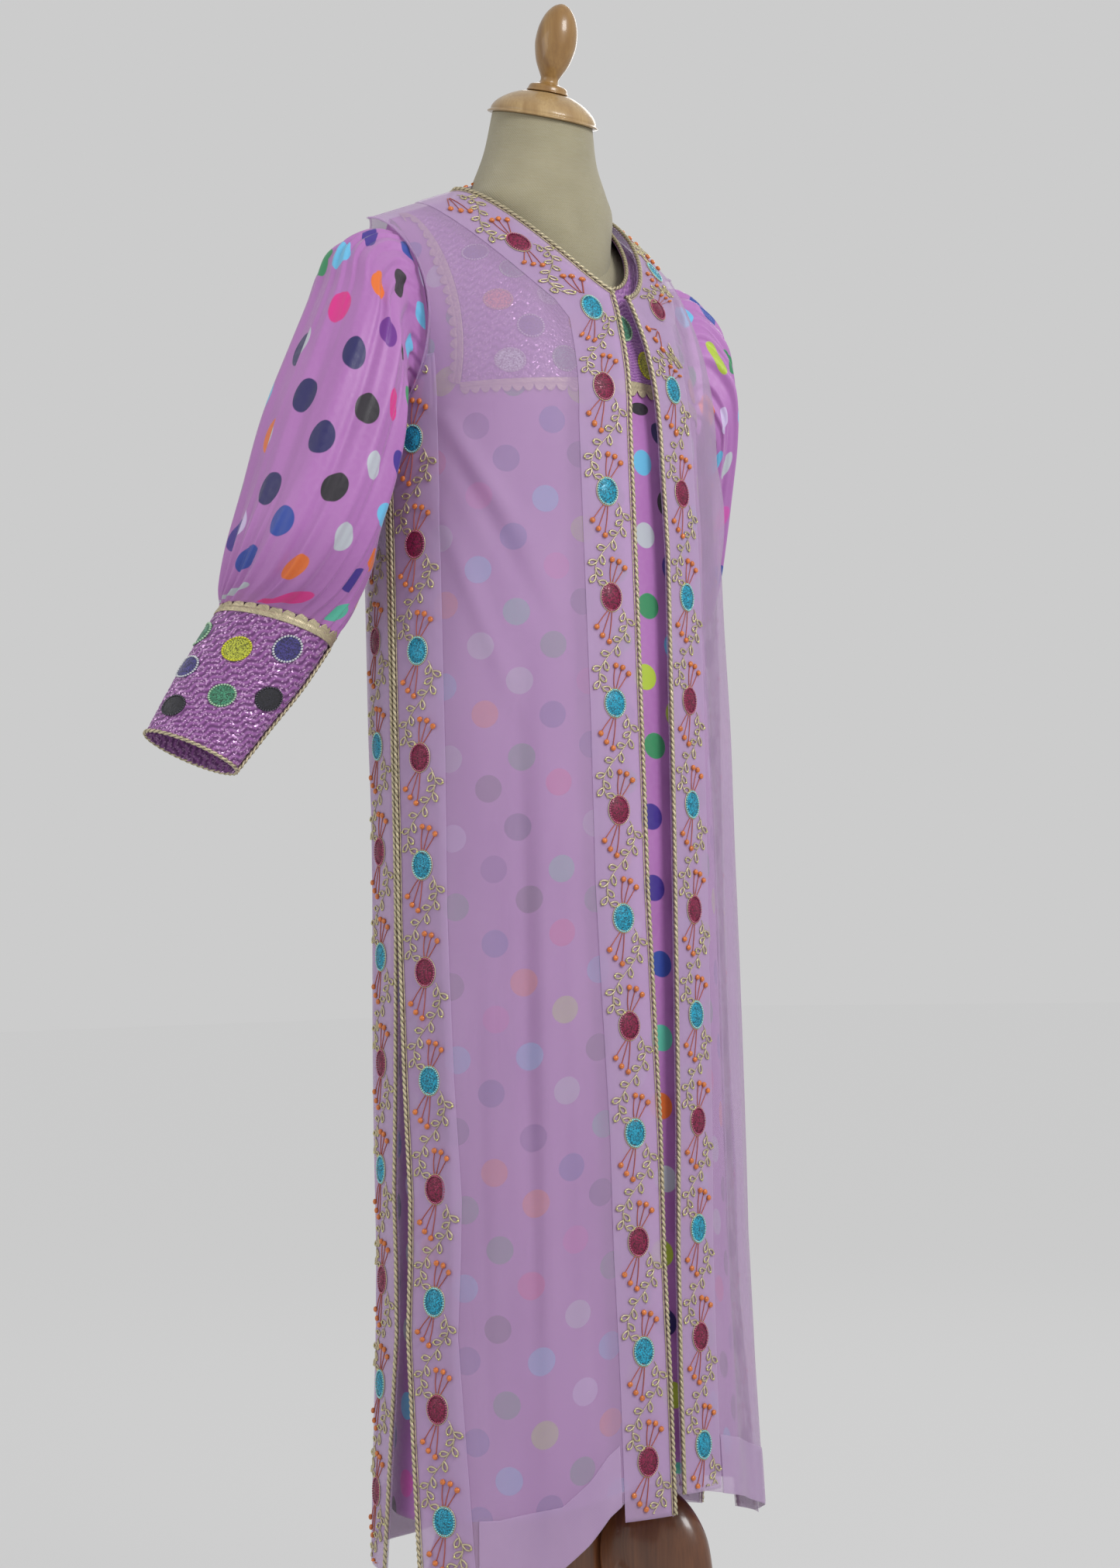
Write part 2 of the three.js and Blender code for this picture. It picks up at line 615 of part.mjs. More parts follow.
/** A band with its row of beaded ovals raised on it, one of them at a distance along the path. */
function beadedBand(layer, path, anchor) {
  const top = ON_PANEL + BAND_WALL;
  const whole = pathLength(stopPoints(layer, path));
  let solid = toManifold(bandStrip(path, 2));
  let travelled = 0;
  let next = anchor % OVAL.repeat;
  if (next < OVAL.along * 1.3) next += OVAL.repeat;
  for (let i = 1; i < path.length; i += 1) {
    const a = bodyPoint(layer, path[i - 1].angle, path[i - 1].rise);
    const b = bodyPoint(layer, path[i].angle, path[i].rise);
    const length = a.distanceTo(b);
    while (next <= travelled + length && next < whole - OVAL.along * 1.3) {
      const t = (next - travelled) / length;
      const stop = {
        angle: lerp(path[i - 1].angle, path[i].angle, t),
        rise: lerp(path[i - 1].rise, path[i].rise, t),
      };
      const inward = path[i - 1].inward.clone().lerp(path[i].inward, t).normalize();
      const centre = walk(layer, stop, inward, BAND / 2 + 2);
      const heading = b.clone().sub(a).normalize();
      solid = solid.add(toManifold(oval(layer, centre, heading, top - OVAL.sink, top + OVAL.rise)));
      next += OVAL.repeat;
    }
    travelled += length;
  }
  return fromManifold(solid);
}

// ---------------------------------------------------------------- sleeves and cuffs
// Each ring is an oval: its outer point and inner point (out from the middle, drop, y)
// and its half-width the other way. A cuff's first ring is its sleeve's last one.
const SLEEVES = {
  right: [
    { outA: 157, dropA: 50, yA: 12, outB: 150.5, dropB: 212.3, yB: 2, half: 34, pleat: 0 },
    { outA: 182, dropA: 53, yA: 12, outB: 166, dropB: 195, yB: 2, half: 37, pleat: 2 },
    { outA: 212, dropA: 72, yA: 11, outB: 178, dropB: 216, yB: 2, half: 51, pleat: 2.2 },
    { outA: 228, dropA: 106, yA: 7, outB: 182, dropB: 230, yB: 3, half: 62, pleat: 1.2 },
    { outA: 251, dropA: 156, yA: 7, outB: 184, dropB: 254, yB: 4, half: 68, pleat: 0 },
    { outA: 272, dropA: 212, yA: 15, outB: 185, dropB: 281, yB: 11, half: 71, pleat: 0 },
    { outA: 286, dropA: 270, yA: 28, outB: 186, dropB: 310, yB: 15, half: 71, pleat: 0 },
    { outA: 294, dropA: 318, yA: 46, outB: 189, dropB: 342, yB: 20, half: 66, pleat: 1.2 },
    { outA: 292, dropA: 350, yA: 66, outB: 197, dropB: 371, yB: 28, half: 52, pleat: 2.2 },
    { outA: 283, dropA: 366, yA: 86, outB: 210, dropB: 393, yB: 29, half: 33, pleat: 1.2 },
  ],
  left: [
    { outA: 157, dropA: 50, yA: 12, outB: 150.5, dropB: 212.3, yB: 2, half: 34, pleat: 0 },
    { outA: 181, dropA: 53, yA: 12, outB: 166, dropB: 195, yB: 2, half: 37, pleat: 2 },
    { outA: 206, dropA: 74, yA: 14, outB: 178, dropB: 216, yB: 8, half: 49, pleat: 2.2 },
    { outA: 221, dropA: 112, yA: 25, outB: 180, dropB: 230, yB: 20, half: 58, pleat: 1.2 },
    { outA: 233, dropA: 162, yA: 42, outB: 180, dropB: 255, yB: 34, half: 63, pleat: 0 },
    { outA: 238, dropA: 218, yA: 60, outB: 180, dropB: 282, yB: 48, half: 65, pleat: 0 },
    { outA: 242, dropA: 273, yA: 78, outB: 179, dropB: 311, yB: 62, half: 65, pleat: 0 },
    { outA: 246, dropA: 320, yA: 96, outB: 180, dropB: 342, yB: 74, half: 61, pleat: 1.2 },
    { outA: 247, dropA: 352, yA: 113, outB: 187, dropB: 370, yB: 82, half: 50, pleat: 2.2 },
    { outA: 243, dropA: 372, yA: 124, outB: 194, dropB: 391, yB: 78, half: 33, pleat: 1.2 },
  ],
};
const CUFFS = {
  right: [
    { outA: 303, dropA: 402, yA: 99, outB: 235, dropB: 434, yB: 42, half: 25, pleat: 0 },
    { outA: 321, dropA: 437, yA: 109, outB: 259, dropB: 468, yB: 56, half: 22, pleat: 0 },
    { outA: 337, dropA: 470, yA: 117, outB: 283, dropB: 502, yB: 69, half: 20, pleat: 0 },
  ],
  left: [
    { outA: 253, dropA: 414, yA: 134, outB: 201, dropB: 432, yB: 88, half: 25, pleat: 0 },
    { outA: 258, dropA: 450, yA: 142, outB: 210, dropB: 468, yB: 99, half: 22, pleat: 0 },
    { outA: 262, dropA: 486, yA: 149, outB: 218, dropB: 503, yB: 110, half: 20, pleat: 0 },
  ],
};
const SLEEVE_SIDES = 24;
const CUFF_SIDES = 16;

/** The two axes and the middle of a sleeve's ring. */
function ringAxes(sign, row) {
  const a = new THREE.Vector3(sign * row.outA, row.yA, NECK_Z - row.dropA);
  const b = new THREE.Vector3(sign * row.outB, row.yB, NECK_Z - row.dropB);
  const middle = a.clone().add(b).multiplyScalar(0.5);
  const long = a.clone().sub(middle);
  const length = long.length();
  long.divideScalar(length);
  const wide = new THREE.Vector3(0, 1, 0);
  wide.addScaledVector(long, -wide.dot(long)).normalize();
  return { middle, long, length, wide };
}

/** The ring that starts the next piece, moved on down the arm by a gap. */
function ringBelow(sign, row, gap) {
  const { long, wide } = ringAxes(sign, row);
  const down = long.clone().cross(wide);
  if (down.z > 0) down.negate();
  const shift = down.multiplyScalar(gap);
  return {
    ...row, pleat: 0,
    outA: row.outA + sign * shift.x, outB: row.outB + sign * shift.x,
    dropA: row.dropA - shift.z, dropB: row.dropB - shift.z,
    yA: row.yA + shift.y, yB: row.yB + shift.y,
  };
}

/** The points of one ring of a sleeve, grown by an amount; pleats push every other point out. */
function sleeveRing(sign, row, grow, sides) {
  const { middle, long, length, wide } = ringAxes(sign, row);
  const points = [];
  for (let k = 0; k < sides; k += 1) {
    const turn = -sign * 2 * Math.PI * k / sides;
    const pleat = row.pleat * (k % 2 === 0 ? 1 : -1) + grow;
    points.push(middle.clone().addScaledVector(long, (length + pleat) * Math.cos(turn))
      .addScaledVector(wide, (row.half + pleat) * Math.sin(turn)));
  }
  return points;
}

const between = (rows, from, to, t) => Object.fromEntries(Object.keys(rows[from])
  .map((key) => [key, lerp(rows[from][key], rows[to][key], t)]));

function sleeveTube(sign, rows, low, high, sides) {
  const outer = rows.map((row) => sleeveRing(sign, row, high, sides));
  const inner = rows.map((row) => sleeveRing(sign, row, low, sides));
  return wallGeometry(outer, inner, true);
}

// ---------------------------------------------------------------- the object
const model = new THREE.Group();
const standing = new THREE.Group();
model.add(standing);

function add(name, geometry, colour, roughness = 0.7, metalness = 0) {
  const material = new THREE.MeshStandardMaterial({ color: COLOURS[colour], roughness, metalness });
  const mesh = new THREE.Mesh(geometry, material);
  mesh.name = name;
  standing.add(mesh);
  return mesh;
}

// The dress: front and back panels of satin.
const yokeRise = Math.asin((CHEST_DROP - YOKE_DROP) / CHEST_DROP) / (Math.PI / 2) * RISE;
add('dress_front', panel('dressFront', 10, TOP_ROWS, yokeRise), 'satin', 0.4);
add('dress_back', panel('dressBack', 10, TOP_ROWS - 1), 'satin', 0.4);

// The bib yoke lies on the dress front from shoulder to shoulder, on the same rows and columns.
const dressFront = panelEdges('dressFront');
const yokeColumns = divideClosing(dressFront.breaks, dressFront.counts, dressFront.closing)
  .slice(YOKE_INSET, -YOKE_INSET);
const yokePlaces = panelPlaces(LAYERS.dress, {
  ...dressFront, bottom: () => yokeRise, top: topOf(LAYERS.dress, NECKS.dressFront),
  across: yokeColumns, lowRows: 0, topRows: TOP_ROWS,
});
const DRESS_LAY = 0.4;
add('dress_yoke', layerWall(LAYERS.dress, yokePlaces, WALL + DRESS_LAY, 2 * WALL + DRESS_LAY),
  'purple', 0.5);

const SCALLOP = { deep: 11, dip: 4, count: 14 };
const yokeEnds = [yokePlaces[0][0].angle, yokePlaces[0].at(-1).angle];
const scallopPath = withInward(LAYERS.dress, divide(yokeEnds, [2 * SCALLOP.count])
  .map((angle) => ({ angle, rise: yokeRise - SEAM - SCALLOP.deep })));
const scallopPlaces = scallopPath.map((stop, i) => {
  const from = i % 2 === 0 ? SCALLOP.dip : 0;
  const to = SCALLOP.deep - 0.8;
  return [from, to].map((distance) => walk(LAYERS.dress, stop, stop.inward, distance));
});
const onDress = WALL + DRESS_LAY;
add('yoke_trim', layerWall(LAYERS.dress, scallopPlaces, onDress, onDress + 1.4), 'gold', 0.4, 0.5);

const halfNeck = (sign) => neckStops(LAYERS.dress, NECKS.dressFront, sign, 0, true, 6);
const dressNeck = withInward(LAYERS.dress, [...halfNeck(1).reverse(), ...halfNeck(-1).slice(1)]);
const ON_YOKE = 2 * WALL + 2 * DRESS_LAY;
const belowShoulder = dressNeck.filter((stop) => stop.rise < RISE - 40);
add('dress_neck_piping', strip(LAYERS.dress, belowShoulder, 0, PIPE, 1, ON_YOKE, ON_YOKE + 1.6),
  'gold', 0.4, 0.5);

// Sleeves, cuffs, the scalloped trim at the head of each cuff and the piping at its end.
for (const [side, sign] of [['right', -1], ['left', 1]]) {
  const sleeve = SLEEVES[side];
  const cuff = [ringBelow(sign, sleeve.at(-1), SEAM), ...CUFFS[side]];
  add(`sleeve_${side}`, sleeveTube(sign, sleeve, -WALL, 0, SLEEVE_SIDES), 'satin', 0.4);
  add(`cuff_${side}`, sleeveTube(sign, cuff, -WALL, 0, CUFF_SIDES), 'purple', 0.5);
  const head = [between(cuff, 0, 1, 0.02), between(cuff, 0, 1, 0.3)];
  add(`cuff_trim_${side}`, sleeveTube(sign, head, 0.5, 1.9, CUFF_SIDES), 'gold', 0.4, 0.5);
  const end = [between(cuff, 2, 3, 0.9), between(cuff, 2, 3, 0.99)];
  add(`cuff_piping_${side}`, sleeveTube(sign, end, 0.5, 2.6, CUFF_SIDES), 'gold', 0.4, 0.5);
}

// The over-thobe: two fronts and a back.
add('thobe_front_right', panel('frontRight', LOW_ROWS, TOP_ROWS), 'chiffon', 0.8);
add('thobe_front_left', panel('frontLeft', LOW_ROWS, TOP_ROWS), 'chiffon', 0.8);
add('thobe_back', panel('back', LOW_ROWS, TOP_ROWS), 'chiffon', 0.8);

// Embroidered bands with raised beaded ovals, and gold piping along the same edges.
const frontPaths = { right: frontPath('right'), left: frontPath('left') };
const OVAL_BELOW_CORNER = 4;
for (const side of ['right', 'left']) {
  const { path, corner } = frontPaths[side];
  const toCorner = pathLength(stopPoints(LAYERS.outer, path.slice(0, corner + 1)));
  const anchor = toCorner + OVAL_BELOW_CORNER * (side === 'right' ? -1 : 1);
  add(`front_band_${side}`, beadedBand(LAYERS.outer, path, anchor), 'band', 0.8);
  add(`front_piping_${side}`, pipeStrip(path), 'gold', 0.4, 0.5);
}
const neckPath = backNeckPath(LAYERS.outer, NECKS.outerBack);
add('neck_band_back', beadedBand(LAYERS.outer, neckPath, 40), 'band', 0.8);
add('neck_piping_back', pipeStrip(neckPath), 'gold', 0.4, 0.5);
const sidePaths = {};
for (const which of ['frontRight', 'backRight', 'backLeft', 'frontLeft']) {
  const name = which.replace(/([A-Z])/, (letter) => `_${letter.toLowerCase()}`);
  const path = sidePath(which);
  sidePaths[which] = path;
  add(`side_band_${name}`, bandStrip(path, 3), 'band', 0.8);
  add(`side_piping_${name}`, pipeStrip(path), 'gold', 0.4, 0.5);
}

// Hem bands between the embroidered bands, on the columns of their panels.
const HEM_GAP = 2.5;
const besideBand = (path) => {
  const stops = [path[0], path.at(-1)];
  const lowest = stops[0].rise < stops[1].rise ? stops[0] : stops[1];
  return walk(LAYERS.outer, lowest, lowest.inward, BAND + HEM_GAP).angle;
};
const hemSpans = {
  front_right: ['frontRight', besideBand(sidePaths.frontRight), besideBand(frontPaths.right.path)],
  front_left: ['frontLeft', besideBand(frontPaths.left.path), besideBand(sidePaths.frontLeft)],
  back: ['back', besideBand(sidePaths.backLeft), besideBand(sidePaths.backRight)],
};
for (const [name, [kind, from, to]] of Object.entries(hemSpans)) {
  const { left, right, breaks, counts, closing } = panelEdges(kind);
  const lowest = HEM_Z - CHEST_Z;
  const columns = divideClosing(breaks, counts, closing)
    .map((u) => lerp(left(lowest), right(lowest), u))
    .filter((angle) => angle > from + 0.02 && angle < to - 0.02);
  const places = divide([0.2, HEM_BAND], [2]).map((up) => [from, ...columns, to]
    .map((angle) => ({ angle, rise: hemRise(LAYERS.outer, angle) + up })));
  const low = ON_PANEL + 0.2;
  add(`hem_band_${name}`, layerWall(LAYERS.outer, places, low, low + BAND_WALL), 'band', 0.8);
}

// ---------------------------------------------------------------- the dress form
const FORM_BOTTOM_DROP = 530;
const FORM_SIDES = 24;
const NECK_RINGS = [                  // height above the side neck point, y, half-sizes and tilt
  { up: -82, y: -2, halfX: 58, halfY: 60, tilt: 0 },
  { up: -40, y: 1, halfX: 66, halfY: 60, tilt: 0 },
  { up: -10, y: 1, halfX: 71, halfY: 58, tilt: 2 },
  { up: 10, y: -1, halfX: 62, halfY: 54.5, tilt: 5 },
  { up: 38, y: -4, halfX: 50.5, halfY: 48.5, tilt: 11 },
  { up: 71, y: -8, halfX: 44.5, halfY: 44.5, tilt: 17 },
];
const NECK_TOP = new THREE.Vector3(0, NECK_RINGS.at(-1).y, NECK_Z + NECK_RINGS.at(-1).up);

function torso() {
  const layer = LAYERS.form;
  const rises = [
    ...divide([CHEST_DROP - FORM_BOTTOM_DROP, 0], [8]), ...divide([0, RISE * 0.97], [7]).slice(1),
  ];
  const rings = rises.map((rise) => divide([0, 2 * Math.PI], [FORM_SIDES]).slice(0, -1)
    .map((angle) => bodyPoint(layer, angle, rise)));
  return toManifold(loft(rings));
}

function neckColumn() {
  const rings = NECK_RINGS.map(({ up, y, halfX, halfY, tilt }) => {
    const lean = THREE.MathUtils.degToRad(tilt);
    return divide([0, 2 * Math.PI], [FORM_SIDES]).slice(0, -1).map((turn) => new THREE.Vector3(
      halfX * Math.cos(turn),
      y + halfY * Math.sin(turn) * Math.cos(lean),
      NECK_Z + up + halfY * Math.sin(turn) * Math.sin(lean),
    ));
  });
  return toManifold(loft(rings));
}
add('form_torso', fromManifold(torso().add(neckColumn())), 'linen', 0.9);

/** A turned piece: radius and height pairs from the bottom up, closed on its axis. */
function turned(profile, sides) {
  const points = profile.map(([radius, height]) => new THREE.Vector2(radius, height));
  const rings = points.map((p) => divide([0, 2 * Math.PI], [sides]).slice(0, -1)
    .map((turn) => new THREE.Vector3(p.x * Math.cos(turn), p.x * Math.sin(turn), p.y)));
  return loft(rings);
}

const CAP = [[45.5, 0], [46.5, 3], [45.5, 7], [40, 14], [30, 20], [19, 23.4], [17, 23.6]];
const cap = add('neck_cap', turned(CAP, FORM_SIDES), 'oak', 0.5);
const FINIAL = [
  [17, 0], [17.2, 3], [15, 6.5], [8.5, 8.5], [7.8, 12], [9.5, 16], [14.5, 26], [17.6, 38], [18, 46],
  [16.8, 56], [13.2, 66], [8, 73], [3, 76.5],
];
const finial = add('finial', turned(FINIAL, 16), 'turned', 0.4);
for (const [mesh, up] of [[cap, SEAM], [finial, 23.6 + 2 * SEAM]]) {
  const axis = new THREE.Vector3(0, -Math.sin(FORM_TILT), Math.cos(FORM_TILT));
  mesh.rotation.x = FORM_TILT;
  mesh.position.copy(NECK_TOP).addScaledVector(axis, up);
}

const HUB = [[30, 0], [36, 8], [40, 30], [40, 70], [34, 84], [24, 92], [20, 96]];
const HUB_Z = 126;
const hub = add('hub', turned(HUB, 20), 'leg', 0.4);
hub.position.z = HUB_Z;
const POLE_Z = HUB_Z + 96 + SEAM;
const POLE_LENGTH = NECK_Z - FORM_BOTTOM_DROP - SEAM - POLE_Z;
const pole = add('pole', turned([[14, 0], [14, POLE_LENGTH]], 16), 'leg', 0.4);
pole.position.z = POLE_Z;

// A cabriole leg: at each stop, how far out and how high its middle is, how steep the section
// stands (0 faces outward, 90 faces the floor), its half-height and its half-thickness.
const LEG = [
  { out: 40.4, up: 166, steep: 0, half: 34, thick: 20 },
  { out: 55, up: 177, steep: 8, half: 43, thick: 23 },
  { out: 72, up: 180, steep: 34, half: 48, thick: 25 },
  { out: 87, up: 165, steep: 60, half: 46, thick: 25 },
  { out: 99, up: 139, steep: 74, half: 37, thick: 22 },
  { out: 115, up: 109, steep: 68, half: 28, thick: 18 },
  { out: 135, up: 76, steep: 58, half: 21, thick: 15 },
  { out: 162, up: 44, steep: 52, half: 18, thick: 14 },
  { out: 187, up: 20, steep: 62, half: 22, thick: 17 },
  { out: 199, up: 7, steep: 84, half: 28, thick: 22 },
  { out: 201, up: 0, steep: 90, half: 26, thick: 21 },
];
const LEG_SIDES = 12;

function leg(turnDegrees) {
  const turn = THREE.MathUtils.degToRad(turnDegrees);
  const outward = new THREE.Vector3(Math.cos(turn), Math.sin(turn), 0);
  const sideways = new THREE.Vector3(-Math.sin(turn), Math.cos(turn), 0);
  const rings = LEG.map(({ out, up, steep, half, thick }) => {
    const lean = THREE.MathUtils.degToRad(steep);
    const long = outward.clone().multiplyScalar(Math.sin(lean));
    long.z = Math.cos(lean);
    return divide([0, 2 * Math.PI], [LEG_SIDES]).slice(0, -1).map((t) => outward.clone()
      .multiplyScalar(out).add(new THREE.Vector3(0, 0, up))
      .addScaledVector(long, half * Math.cos(t)).addScaledVector(sideways, thick * Math.sin(t)));
  });
  return loft(rings);
}
const LEG_TURNS = { leg_right: 168, leg_front: 288, leg_back: 48 };
for (const [name, turn] of Object.entries(LEG_TURNS)) add(name, leg(turn), 'leg', 0.4);

// The origin is the middle of the object's box, on the floor.
standing.updateMatrixWorld(true);
const box = new THREE.Box3().setFromObject(standing, true);
standing.position.set(-(box.min.x + box.max.x) / 2, -(box.min.y + box.max.y) / 2, 0);

export default model;
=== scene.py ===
"""A girl's two-layer thobe on a wooden dress form: a satin dress with puff sleeves under a sheer,
beaded over-thobe that is open down the front and slit at both sides. Sizes are millimetres from
the stand's axis and the floor, and become metres where a mesh is made."""

import bpy
import numpy as np
from mathutils import Matrix, Vector


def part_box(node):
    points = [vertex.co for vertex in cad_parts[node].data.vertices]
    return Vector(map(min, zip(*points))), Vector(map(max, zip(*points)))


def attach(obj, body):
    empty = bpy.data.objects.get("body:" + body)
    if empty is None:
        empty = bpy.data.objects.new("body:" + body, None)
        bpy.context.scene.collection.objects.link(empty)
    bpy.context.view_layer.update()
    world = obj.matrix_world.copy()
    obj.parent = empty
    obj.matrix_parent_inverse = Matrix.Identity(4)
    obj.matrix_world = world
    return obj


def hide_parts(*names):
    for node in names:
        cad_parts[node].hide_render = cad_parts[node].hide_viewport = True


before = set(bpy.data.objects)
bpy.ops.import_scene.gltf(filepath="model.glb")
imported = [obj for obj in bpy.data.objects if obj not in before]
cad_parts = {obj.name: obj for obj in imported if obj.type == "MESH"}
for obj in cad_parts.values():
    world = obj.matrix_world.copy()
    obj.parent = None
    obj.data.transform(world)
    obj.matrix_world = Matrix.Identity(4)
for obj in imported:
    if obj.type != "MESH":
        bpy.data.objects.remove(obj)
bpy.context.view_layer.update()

# ---------------------------------------------------------------- linen torso and neck
# A child's torso of firm padding under plain-woven linen, its neck tipped forward. The linen is
# pulled tight and closed by a flat seam down each side. Both garments hang from its shoulders.
POLE_LOW, POLE_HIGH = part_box("pole")
AXIS = np.array([(a + b) / 2 for a, b in zip(POLE_LOW, POLE_HIGH)]) * (1, 1, 0)
MM = 0.001
NECK_Z = 1322.0                     # side neck point
CHEST_DROP = 212.0                  # side neck point down to the underarm
RISE = 200.0                        # length given to the arch from the chest to the shoulder seam
CHEST_Z = NECK_Z - CHEST_DROP
SHOULDER_SLOPE, SHOULDER_ROUND, NECK_HALF = 0.42, 30.0, 79.0
ARCH_POWER = 1.3
SHOULDER_BACK = 15.0                # how far the shoulder seam lies behind the middle

# A layer's sections are rows of drop below the side neck point, half-width, half-depth and
# the y of the middle; its folds are rows of degrees round the body, spread, depth and drop.
FORM = {
    "lower": 8.1, "top": 146.0, "folds": [],
    "sections": [(212, 126, 95, 2), (330, 110, 86, 2), (430, 126, 101, 2), (500, 130, 104, 2),
                 (530, 122, 97, 2)],
}
FORM_BOTTOM_DROP = 530.0


def smooth(t):
    """An S-curve from 0 to 1."""
    t = np.clip(t, 0, 1)
    return t * t * (3 - 2 * t)


def shoulder_z(layer, x):
    """Height of the shoulder line, which slopes down outwards and is rounded across the neck."""
    slope = np.hypot(x, SHOULDER_ROUND) - np.hypot(NECK_HALF, SHOULDER_ROUND)
    return NECK_Z - layer["lower"] - SHOULDER_SLOPE * slope


def fold_out(layer, angle, drop):
    """How far the hanging folds push a layer out: each is a bell round its own angle, and grows
    over 160 mm below its own drop."""
    out = np.zeros(np.broadcast(angle, drop).shape)
    for at, spread, depth, start in layer["folds"]:
        away = np.degrees(angle) - at
        away = away - 360 * np.round(away / 360)
        out += depth * smooth((drop - start) / 160) * np.exp(-((away / spread) ** 2))
    return out


def on_layer(layer, angle, rise):
    """Points of a layer. Angle runs round the body from the wearer's left, the front at minus a
    quarter turn. Below the chest the section is an ellipse; above it the depth shrinks with the
    cosine of an arch, to a power, and the height grows with its sine to the shoulder line."""
    angle, rise = np.broadcast_arrays(np.asarray(angle, float), np.asarray(rise, float))
    arch = np.clip(rise, 0, None) / RISE * np.pi / 2
    drop = CHEST_DROP - np.minimum(0, rise)
    rows = np.array(layer["sections"], float)
    width, depth, middle = (np.interp(drop, rows[:, 0], rows[:, k]) for k in (1, 2, 3))
    out = fold_out(layer, angle, drop)
    half = width + (layer["top"] - width) * smooth(np.sin(np.minimum(arch, np.pi / 2)))
    x = (half + out) * np.cos(angle)
    fore = np.sign(np.cos(arch)) * np.abs(np.cos(arch)) ** ARCH_POWER
    seam = np.sign(np.sin(angle)) * 0.15 * np.sin(arch)
    y = middle + (depth + out) * np.sin(angle) * fore + seam + SHOULDER_BACK * smooth(rise / 150)
    z = CHEST_Z + np.minimum(0, rise) + (shoulder_z(layer, x) - CHEST_Z) * np.sin(arch)
    return np.stack([x, y, z], -1)


def unit(vectors):
    """Vectors of length one."""
    return vectors / np.linalg.norm(vectors, axis=-1, keepdims=True)


def tangents(layer, angle, rise):
    """The two tangents of a layer, by small steps round it and up it."""
    da, dr = 1e-3, 0.2
    across = (on_layer(layer, angle + da, rise) - on_layer(layer, angle - da, rise)) / (2 * da)
    up = (on_layer(layer, angle, rise + dr) - on_layer(layer, angle, rise - dr)) / (2 * dr)
    return across, up


def off_layer(layer, angle, rise, height):
    """Points at a height above a layer, along its normal."""
    across, up = tangents(layer, angle, rise)
    lift = np.asarray(height, float)[..., None]
    return on_layer(layer, angle, rise) + unit(np.cross(across, up)) * lift


def sew(name, points, faces, materials, uv=None, pick=None, flat=False):
    """A piece from points in millimetres and faces that all have as many corners; uv has a row
    for each face corner, and pick chooses each face's material."""
    mesh = bpy.data.meshes.new(name)
    count, sides = faces.shape
    mesh.vertices.add(len(points))
    mesh.vertices.foreach_set("co", (points * MM + AXIS).astype(np.float32).ravel())
    mesh.loops.add(count * sides)
    mesh.loops.foreach_set("vertex_index", faces.astype(np.int32).ravel())
    mesh.polygons.add(count)
    mesh.polygons.foreach_set("loop_start", np.arange(0, count * sides, sides, dtype=np.int32))
    mesh.polygons.foreach_set("loop_total", np.full(count, sides, dtype=np.int32))
    mesh.polygons.foreach_set("use_smooth", np.full(count, not flat))
    for material in materials:
        mesh.materials.append(material)
    if pick is not None:
        mesh.polygons.foreach_set("material_index", np.asarray(pick, dtype=np.int32))
    if uv is not None:
        layer = mesh.uv_layers.new(name="cloth")
        layer.data.foreach_set("uv", uv.astype(np.float32).ravel())
    mesh.update(calc_edges=True)
    piece = bpy.data.objects.new(name, mesh)
    bpy.context.scene.collection.objects.link(piece)
    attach(piece, "root")
    return piece


def grid_faces(rows, columns, closed=False):
    """Corner numbers of the quads of a grid, and the same with the last column read as the first."""
    corner = np.arange(rows * columns).reshape(rows, columns)
    joined = corner.copy()
    if closed:
        joined = np.arange(rows * (columns - 1)).reshape(rows, columns - 1)
        joined = np.hstack([joined, joined[:, :1]])
    quads = [np.stack([g[:-1, :-1], g[:-1, 1:], g[1:, 1:], g[1:, :-1]], -1).reshape(-1, 4)
             for g in (corner, joined)]
    return quads


def weave(name, points, uv, material, closed=False):
    """A piece from a grid of points, rows by columns; closed joins its last column to its first,
    which repeats it. uv is a grid in metres of cloth."""
    rows, columns = points.shape[:2]
    corner, joined = grid_faces(rows, columns, closed)
    body = points[:, :-1] if closed else points
    return sew(name, body.reshape(-1, 3), joined, [material], uv.reshape(-1, 2)[corner.ravel()])


def metres_of_cloth(points):
    """Grid of places on the flat cloth, in metres: the length along each row and up each column,
    counted from the middle of the rows and from the foot."""
    across = np.linalg.norm(np.diff(points, axis=1), axis=-1)
    u = np.concatenate([np.zeros((len(points), 1)), np.cumsum(across, axis=1)], axis=1)
    u = u - u[:, u.shape[1] // 2][:, None]
    up = np.linalg.norm(np.diff(points, axis=0), axis=-1).mean(axis=1)
    v = np.concatenate([[0], np.cumsum(up)])
    return np.stack([u, np.broadcast_to(v[:, None], u.shape)], -1) * MM


def cut_of(points):
    """Width, length and area of the flat cloth of a grid, in metres and square metres."""
    width = np.linalg.norm(np.diff(points, axis=1), axis=-1).sum(axis=1).max()
    length = np.linalg.norm(np.diff(points, axis=0), axis=-1).sum(axis=0).max()
    a = points[1:, 1:] - points[:-1, :-1]
    b = points[1:, :-1] - points[:-1, 1:]
    area = np.linalg.norm(np.cross(a, b), axis=-1).sum() / 2
    return (float(width * MM), float(length * MM)), float(area * MM * MM)


def lay(piece, points, stands_for=None, wall=0.6):
    """Gives a piece of cloth an even wall under its face, measures its flat cut and hides the solid it
    replaces."""
    thickness = piece.modifiers.new("thickness", "SOLIDIFY")
    thickness.thickness, thickness.offset, thickness.use_even_offset = wall * MM, -1, False
    size, area = cut_of(points)
    if stands_for:
        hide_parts(stands_for)


def srgb(red, green, blue):
    """Linear colour of a screen colour given from 0 to 255."""
    c = np.array([red, green, blue]) / 255
    linear = np.where(c <= 0.04045, c / 12.92, ((c + 0.055) / 1.055) ** 2.4)
    return (*linear.tolist(), 1.0)


